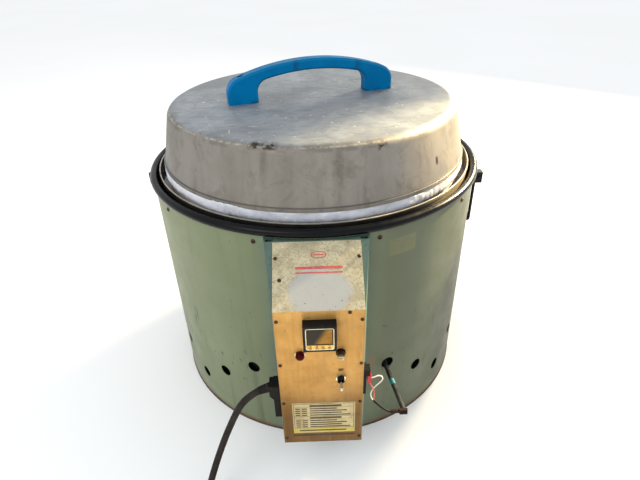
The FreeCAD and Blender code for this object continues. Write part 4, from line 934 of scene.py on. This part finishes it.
def panel_marks():
    """Plain printed shapes instead of lettering: an oval and two stripes on the slant, rules on the plate."""
    red = plain("red_print", "b0403a", "c85a50", 300, (0.5, 0.65), wear="c4b89c")
    dark = plain("dark_print", "1a150c", "2e2616", 260, (0.55, 0.7), wear="5a5034")
    thick, faint_thick, middle = 0.12, 0.06, 2.0
    shapes = [frame_shape(ellipse(middle, 83, 11.5, 5.6), ellipse(middle, 83, 9.9, 4.3), 0, thick),
              slab(rectangle(middle - 8, 82.1, middle + 8, 83.9), 0, thick),
              slab(rounded(middle - 34, 61.5, middle + 34, 65.5, 0.8), 0, thick),
              slab(rounded(middle - 34, 55, middle + 34, 57.2, 0.6), 0, thick)]
    thin_piece("slant_stripes", [on_slant(s) for s in shapes], red)
    # the plate: a frame, a heading bar over each half, and ruled rows either side of a divider
    plate_low, plate_high, plate_left, plate_right = 131.8, 191.4, -46.2, 51.2
    plate_out, line, pitch = 0.6, 0.7, 5.1
    rows = []

    def rule(x0, z0, x1, z1):
        rows.append(slab(rectangle(x0, z0, x1, z1), plate_out, plate_out + thick))

    for z in (plate_low, 160.6, plate_high - line):
        rule(plate_left, z, plate_right, z + line)
    for x in (plate_left, plate_right - line):
        rule(x, plate_low, x + line, plate_high)
    count = 4
    for base in (162.6, 133.8):
        top = base + count * pitch
        rule(plate_left + 26, top + 1.1, plate_right - 20, top + 4.9)
        rule(plate_left + 2, top - 0.2, plate_right - 2, top + 0.1)
        for k in range(count):
            z = base + k * pitch
            rule(plate_left + 3, z + 0.4, plate_left + 10.5, z + 2.7)
            rule(plate_left + 13.5, z + 0.4, plate_left + 22, z + 2.7)
            reach = (66, 52, 60, 44)[k]
            rule(plate_left + 26, z + 0.4, plate_left + 26 + reach, z + 2.7)
        rule(plate_left + 12, base - 0.6, plate_left + 12.3, top)
    rule(plate_left + 8, 124.6, plate_right - 12, 127.2)
    thin_piece("plate_rules", [on_panel(s) for s in rows], dark)
    faint = plain("worn_print", "6e5527", "8a6c35", 300, (0.5, 0.65), wear="c79a54")
    worn_line = slab(rectangle(-50, 197.5, 6, 198.9), 0, faint_thick)
    thin_piece("panel_line", [on_panel(worn_line)], faint)
    maker_line = slab(rectangle(-49, 111.4, 53, 114.8), 0, faint_thick)
    thin_piece("maker_rule", [on_panel(maker_line)], dark)


def controller_trim():
    """The cream outline round the window, the brass-coloured strip behind the keys and its small marks."""
    cream = plain("cream_outline", "d8cc9c", "f1e8c4", 160, (0.35, 0.5))
    brass = plain("controller_strip", "b98f3e", "dcb65c", 160, (0.3, 0.45), Metallic=0.4)
    housing, face, thick = 13.6, 1.3, 0.08
    out = housing + face
    outer, inner = rounded(-20.2, 322.2, 20.2, 362, 3.4), rounded(-19.1, 323.4, 19.1, 360.9, 2.6)
    outline = on_panel(frame_shape(outer, inner, out, out + 2 * thick))
    thin_piece("controller_outline", [outline], cream)
    strip = rounded(-19, 323.6, 19, 331.2, 1.8)
    thin_piece("controller_strip", [on_panel(slab(strip, out, out + thick))], brass)
    dark = plain("key_marks", "2a1f0c", "3c2e14", 300, (0.5, 0.6))
    marks = []
    for x in (-13.5, -4.5, 4.5, 13.5):
        ring = frame_shape(ellipse(x, 325.5, 2.15, 2.15, 28), ellipse(x, 325.5, 1.75, 1.75, 28),
                           out + thick, out + 2 * thick)
        dash = slab(rectangle(x - 1.6, 329.2, x + 1.6, 330.1), out + thick, out + 2 * thick)
        marks += [on_panel(ring), on_panel(dash)]
    thin_piece("controller_marks", marks, dark)


PROBE_MOUTH = Vector((0.1191, -0.2862, 0.153))
PROBE_HEADING = radians(9)


def probe_details():
    """A band of wrinkled tape round the ceramic tube, beside the vent."""
    out = Vector((sin(PROBE_HEADING), -cos(PROBE_HEADING), 0))
    tape_start = 0.036
    tape = plain("teal_tape", "1f5f6c", "2d7f8c", 120, (0.4, 0.55), wear="16424c")
    aim = out.to_track_quat("Z", "Y").to_matrix().to_4x4()

    def wrinkled(point, radius, height, angle):
        lift = 0.00018 * noise.noise(Vector((point.x * 300, point.y * 300, height * 300)))
        return point * (1 + lift / max(radius, 0.001)) if radius > 0.002 else point

    profile = [(4.27, 0), (4.62, 0.3), (4.68, 3), (4.6, 6), (4.66, 9), (4.6, 11.7), (4.27, 12)]
    shape = lathed([(r * MM, z * MM) for r, z in profile], 48, wrinkled)
    band = mesh_piece("probe_tape", moved(shape, Matrix.Translation(PROBE_MOUTH + out * tape_start) @ aim))
    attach(band, "kiln")
    give(band, tape)


def dress_pieces(looks, leads_made, collar, coils, grips):
    for piece, look in zip(leads_made, ("mains_cord", "strain_relief", "plug_body", "cord_tie",
                                        "thermocouple_lead", "wire_white", "wire_red")):
        give(piece, looks[look])
    give(collar, looks["lid_insulation"])
    give(coils, looks["heating_elements"])
    for grip in grips:
        give(grip, looks["side_grip_right"])


looks = dress()
dress_pieces(looks, lead_pieces, fibre_collar(), heating_coils(), handle_grips())
panel_marks()
controller_trim()
probe_details()

# ---------------------------------------------------------------- floor and light


def floor():
    size, gap = 14.0, 0.0004  # the floor lies just under the base, so that they don't share a plane
    corners = [(-size, -size, 0), (size, -size, 0), (size, size, 0), (-size, size, 0)]
    made = mesh_piece("floor", (corners, [(0, 1, 2, 3)]))
    made.location.z = -gap
    f = Finish("pale_floor", Roughness=0.9, Specular_IOR_Level=0.1)
    f.put("Base Color", f.mix(f.mottle(0.3, 0.7, 0.8, 2), "fbfaf7", "fdfcfa"))
    give(made, f)


def lamp(name, kind, place, target, power, colour, **settings):
    data = bpy.data.lights.new(name, kind)
    data.energy, data.color = power, colour
    for setting, value in settings.items():
        setattr(data, setting, value)
    made = link(name, data)
    made.location = place
    made.rotation_euler = (Vector(target) - Vector(place)).to_track_quat("-Z", "Y").to_euler()


def light():
    """An even, cool sky, a warm low lamp behind on the right, a patch of sun on the lid and a weak fill."""
    world = bpy.data.worlds.new("studio")
    bpy.context.scene.world = world
    world.use_nodes = True
    sky = world.node_tree.nodes["Background"]
    sky.inputs["Color"].default_value = (0.93, 0.96, 1.0, 1)
    sky.inputs["Strength"].default_value = 1.0
    lamp("key", "AREA", (1.5, 1.6, 1.3), (0.1, 0, 0.5), 60, (1.0, 0.84, 0.58), shape="DISK", size=0.6)
    lamp("patch", "SPOT", (1.6, 0.7, 1.35), (0.525, -0.125, 0.68), 900, (1.0, 0.79, 0.45),
         spot_size=radians(17), spot_blend=0.3, shadow_soft_size=0.03)
    lamp("fill", "AREA", (-1.4, -1.8, 2.2), (0, 0, 0.3), 20, (0.95, 0.97, 1.0), shape="DISK", size=1.6)


floor()
light()
bpy.context.scene.view_settings.view_transform = "Standard"
